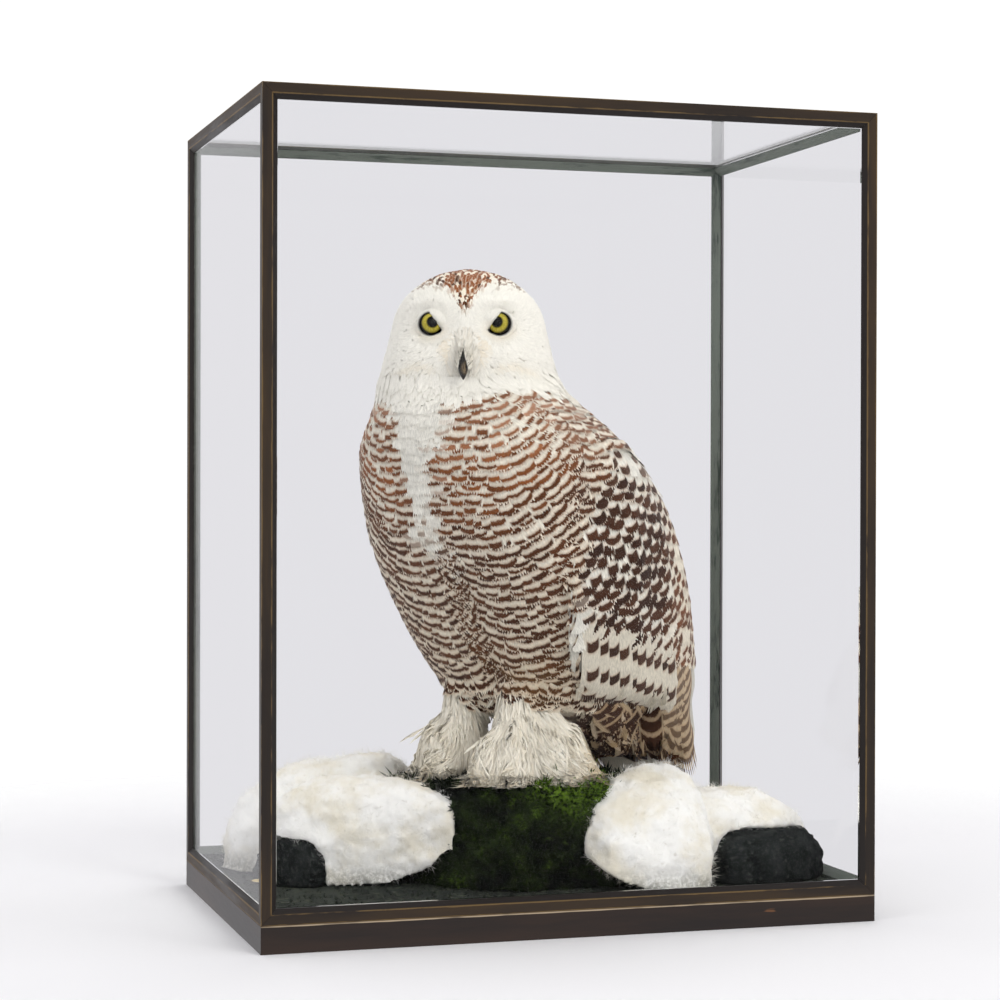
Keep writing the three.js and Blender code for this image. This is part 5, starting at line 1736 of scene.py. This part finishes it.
def build_lids(surface, material):
    """The lids, and the small feathers that run out from them over the face and over the brows."""
    coat = Coat("owl_brow_feathers")
    for side, word in SIDES:
        lid = lid_surface(surface, side)
        look, inner, lift = eye_frame(side)
        mesh = mesh_of("owl_lid_" + word, lid.points, lid.faces)
        count = len(lid.points)
        rim = smooth(1.7, 0.9, lid.edge) * (1 - lid.brow)
        base = mixed(np.broadcast_to(WHITE, (count, 3)), paint(18, 14, 10), rim)
        give_marks(mesh, np.zeros((count, 3)), base, *plain_marks(count))
        soften(mesh)
        piece = linked("owl_lid_" + word, mesh)
        thick = piece.modifiers.new("thick", "SOLIDIFY")
        thick.thickness = 0.0006
        thick.offset = -1
        finished(piece)
        settle(piece, material, "plumage", [])

        both = surface_with(surface, lid.points, lid.faces)
        number = 1250
        turn = rng.uniform(0, 2 * math.pi, number)
        share = rng.uniform(0.0, 1.0, number) ** 0.9
        on_brow = brow_share(turn)
        out = opening(turn) + 1.5 - 1.4 * on_brow
        out = out + (16.5 - out) * share
        places, normals, hit = cast_at_head(both, round_eye(side, turn, out) + look * 40, -look)
        turn, share, on_brow = only(hit, turn, share, on_brow)
        count = len(places)
        tilt = math.radians(BROW_TILT)
        along_brow = lift * math.cos(tilt) - inner * math.sin(tilt)
        radial = np.outer(np.cos(turn), inner) + np.outer(np.sin(turn), lift)
        ways = radial + along_brow * (on_brow * (1 - share))[:, None] * 1.2
        length = rng.uniform(4.5, 7.0, count) * (0.7 + 0.5 * share)
        base = np.broadcast_to(WHITE, (count, 3)) * rng.uniform(0.97, 1.02, count)[:, None]
        below = smooth(0.2, -0.6, np.sin(turn)) * (1 - share)
        base = mixed(base, CREAM, below * 0.35)
        lay(coat, both, places, jitter_ways(head_way(ways), normals, 10), length, length * 0.36, base,
            *plain_marks(count), 0.25 + 0.5 * (side > 0) + (unwrapped(turn, share) - 0.5) * 0.4, rows=3,
            strips=2, high=0.0007, low=0.0002, camber=0.0003, fray=0.2)
    coat.make(material)


BEFORE_BILL = 115.0      # mm, well ahead of the bill in the head's frame


def bill_bristles(surface, material):
    """Fine bristles that cover the sides and the root of the bill, from the lores down to its ridge."""
    coat = Coat("owl_bill_bristles")
    horn = merged_copy("measure", BILLS)
    points, faces = mesh_arrays(horn.data)
    bpy.data.objects.remove(horn)
    both = surface_with(surface, points, faces)
    number = 1500
    side = np.where(rng.uniform(0, 1, number) < 0.5, 1.0, -1.0)
    tip_z = rng.uniform(404, 441, number)
    ridge = np.interp(tip_z, [404, 410, 416, 424, 430, 434], [5.0, 4.9, 3.6, 1.6, 0.2, -2.5])
    tip_y = side * (ridge + rng.uniform(0, 1, number) ** 1.3 * 7)
    long = rng.uniform(9, 15, number)
    root_z = tip_z + long
    root_y = tip_y + side * rng.uniform(1.5, 6, number) * (0.4 + 0.6 * smooth(0, 6, np.abs(tip_y)))
    lines = []
    ahead = np.array([1.0, 0, 0])
    for share in (0.0, 0.25, 0.5, 0.75, 1.0):
        y = root_y + (tip_y - root_y) * share ** 1.4
        z = root_z + (tip_z - root_z) * share
        places, _, _ = cast_at_head(both, np.stack([np.full(number, BEFORE_BILL), y, z], -1), -ahead)
        rise = 0.0003 + 0.0021 * share ** 1.5 * np.ones(number)
        lines.append(places + head_way(ahead) * rise[:, None])
    lines = np.stack(lines, 1)
    for _ in range(2):
        lines[:, 1:-1] = (lines[:, :-2] + lines[:, 2:]) / 4 + lines[:, 1:-1] / 2
    lines[:, 1:] += head_way(np.array([0.0009, 0, 0]))
    base = mixed(np.broadcast_to(WHITE, (number, 3)), CREAM, rng.uniform(0.0, 0.35, number))
    dark = smooth(4.5, 0.5, np.abs(tip_y) - ridge) * (rng.uniform(0, 1, number) > 0.72)
    base = mixed(base, paint(96, 88, 72), dark * 0.7)
    base = base * rng.uniform(0.92, 1.02, number)[:, None]
    ribbons(coat, lines, head_way(ahead), rng.uniform(0.0007, 0.0013, number), base,
            unwrapped(tip_y, tip_z))
    coat.make(material)


def horn_material(name, dark, streak, streak_place):
    """Polished black horn with a paler streak round a place."""
    material, tree, skin = new_material(name, 0.3, 0.45)
    place = object_place(tree)
    long = stretched(tree, place, (1, 1, 0.25))
    grain = noise_in(tree, long, 420.0, 3.0)
    lines = ramp(tree, grain, 0.35, 0.65)
    pale = times(tree, ramp(tree, distance_to(tree, place, streak_place), 0.0085, 0.004), lines)
    colour = blend(tree, lines, dark, tuple(np.array(dark) * 2.2))
    finish_skin(tree, skin, blend(tree, times(tree, pale, 0.8), colour, streak), grain, 0.25, 0.0002)
    return material


def build_horn():
    streak_place = from_head(np.array([[0.083, 0.0045, 0.413]]))[0]
    bill = horn_material("black_bill", paint(24, 22, 20), paint(132, 112, 80), streak_place)
    claw = horn_material("black_claw", paint(20, 16, 14), paint(70, 56, 42), (0, 0, 0))
    for name in BILLS + CLAWS:
        piece = merged_copy(name + "_horn", [name])
        round_off = piece.modifiers.new("round", "SUBSURF")
        round_off.levels = round_off.render_levels = 2
        finished(piece)
        soften(piece.data)
        settle(piece, *((bill, "bill") if name in BILLS else (claw, "claw")), [name])


# ---- The owl --------------------------------------------------------------------------------

# Name, spacing and length in mm, width as a share of the length, lift in metres, strips across, and
# where in the head's frame.
HEAD_COATS = (
    ("owl_neck_feathers", 4.6, 17, 0.42, 0.0016, 4,
     lambda x, y, z: (z > 372) & (z < 430) & ((x < 40) | (z < 402))),
    ("owl_skull_feathers", 3.8, 12, 0.42, 0.0012, 4, lambda x, y, z: (z >= 425) & (x < 38) & (z < 486)),
    ("owl_crown_feathers", 3.3, 12, 0.36, 0.0011, 4, lambda x, y, z: z >= 482),
    ("owl_face_feathers", 2.5, 8.5, 0.4, 0.0005, 2, lambda x, y, z: (x > 34) & (z > 398) & (z < 486)),
)


def build_owl():
    skin_piece, surface = bird_surface()
    material = plumage_material("barred_plumage", 0.28, 0.35, 3.2)
    spotted = plumage_material("spotted_plumage", 0.26, 0.35, 1.2)
    down = plumage_material("soft_plumage", 0.12, 0.15, 3.0)
    local = owl_mm(surface.points)
    turn = turn_of(local)
    level = local[:, 2] - row_rise(turn, local[:, 2])
    count = len(local)
    base, mark, strength = breast_marks(turn, level, local[:, 2], np.full(count, 0.5))
    wing = surface.shares[:, 1]
    strength = strength * (1 - wing) * surface.shares[:, 0]
    base = mixed(base, SHADED_WHITE, wing)
    vane = np.stack([level, turn * 2, np.zeros(count)], -1)
    give_marks(skin_piece.data, vane, base * 0.92, with_strength(mark, strength * 0.8),
               four(np.full(count, 5.0), ROW, 2.2, 999))
    soften(skin_piece.data)
    settle(skin_piece, material, "plumage", FLESH)

    body_coat(surface, material, "owl_breast", np.arange(22, 395, ROW), -75, 110, 11.5, 30)
    body_coat(surface, material, "owl_back", np.arange(22, 395, 12.5), 110, 285, 13.5, 34)
    bib_coat(surface, down)
    hanging_coat(surface, material)
    for name, *sizes, wanted in HEAD_COATS:
        head_coat(surface, down, name, *sizes, wanted)
    for side, word in SIDES:
        covert_coat(surface, spotted, side, f"owl_coverts_{word}")
        flight_coat(surface, spotted, side, f"owl_flight_{word}")
        feet_coat(surface, down, side, f"owl_foot_feathers_{word}")
    tail_coat(surface, spotted)
    build_lids(surface, down)
    bill_bristles(surface, down)
    eyes = eye_material()
    for side, word in SIDES:
        build_eye(side, word, eyes)
    build_horn()


add_camera()
add_stage()
build_case()
build_ground()
build_owl()
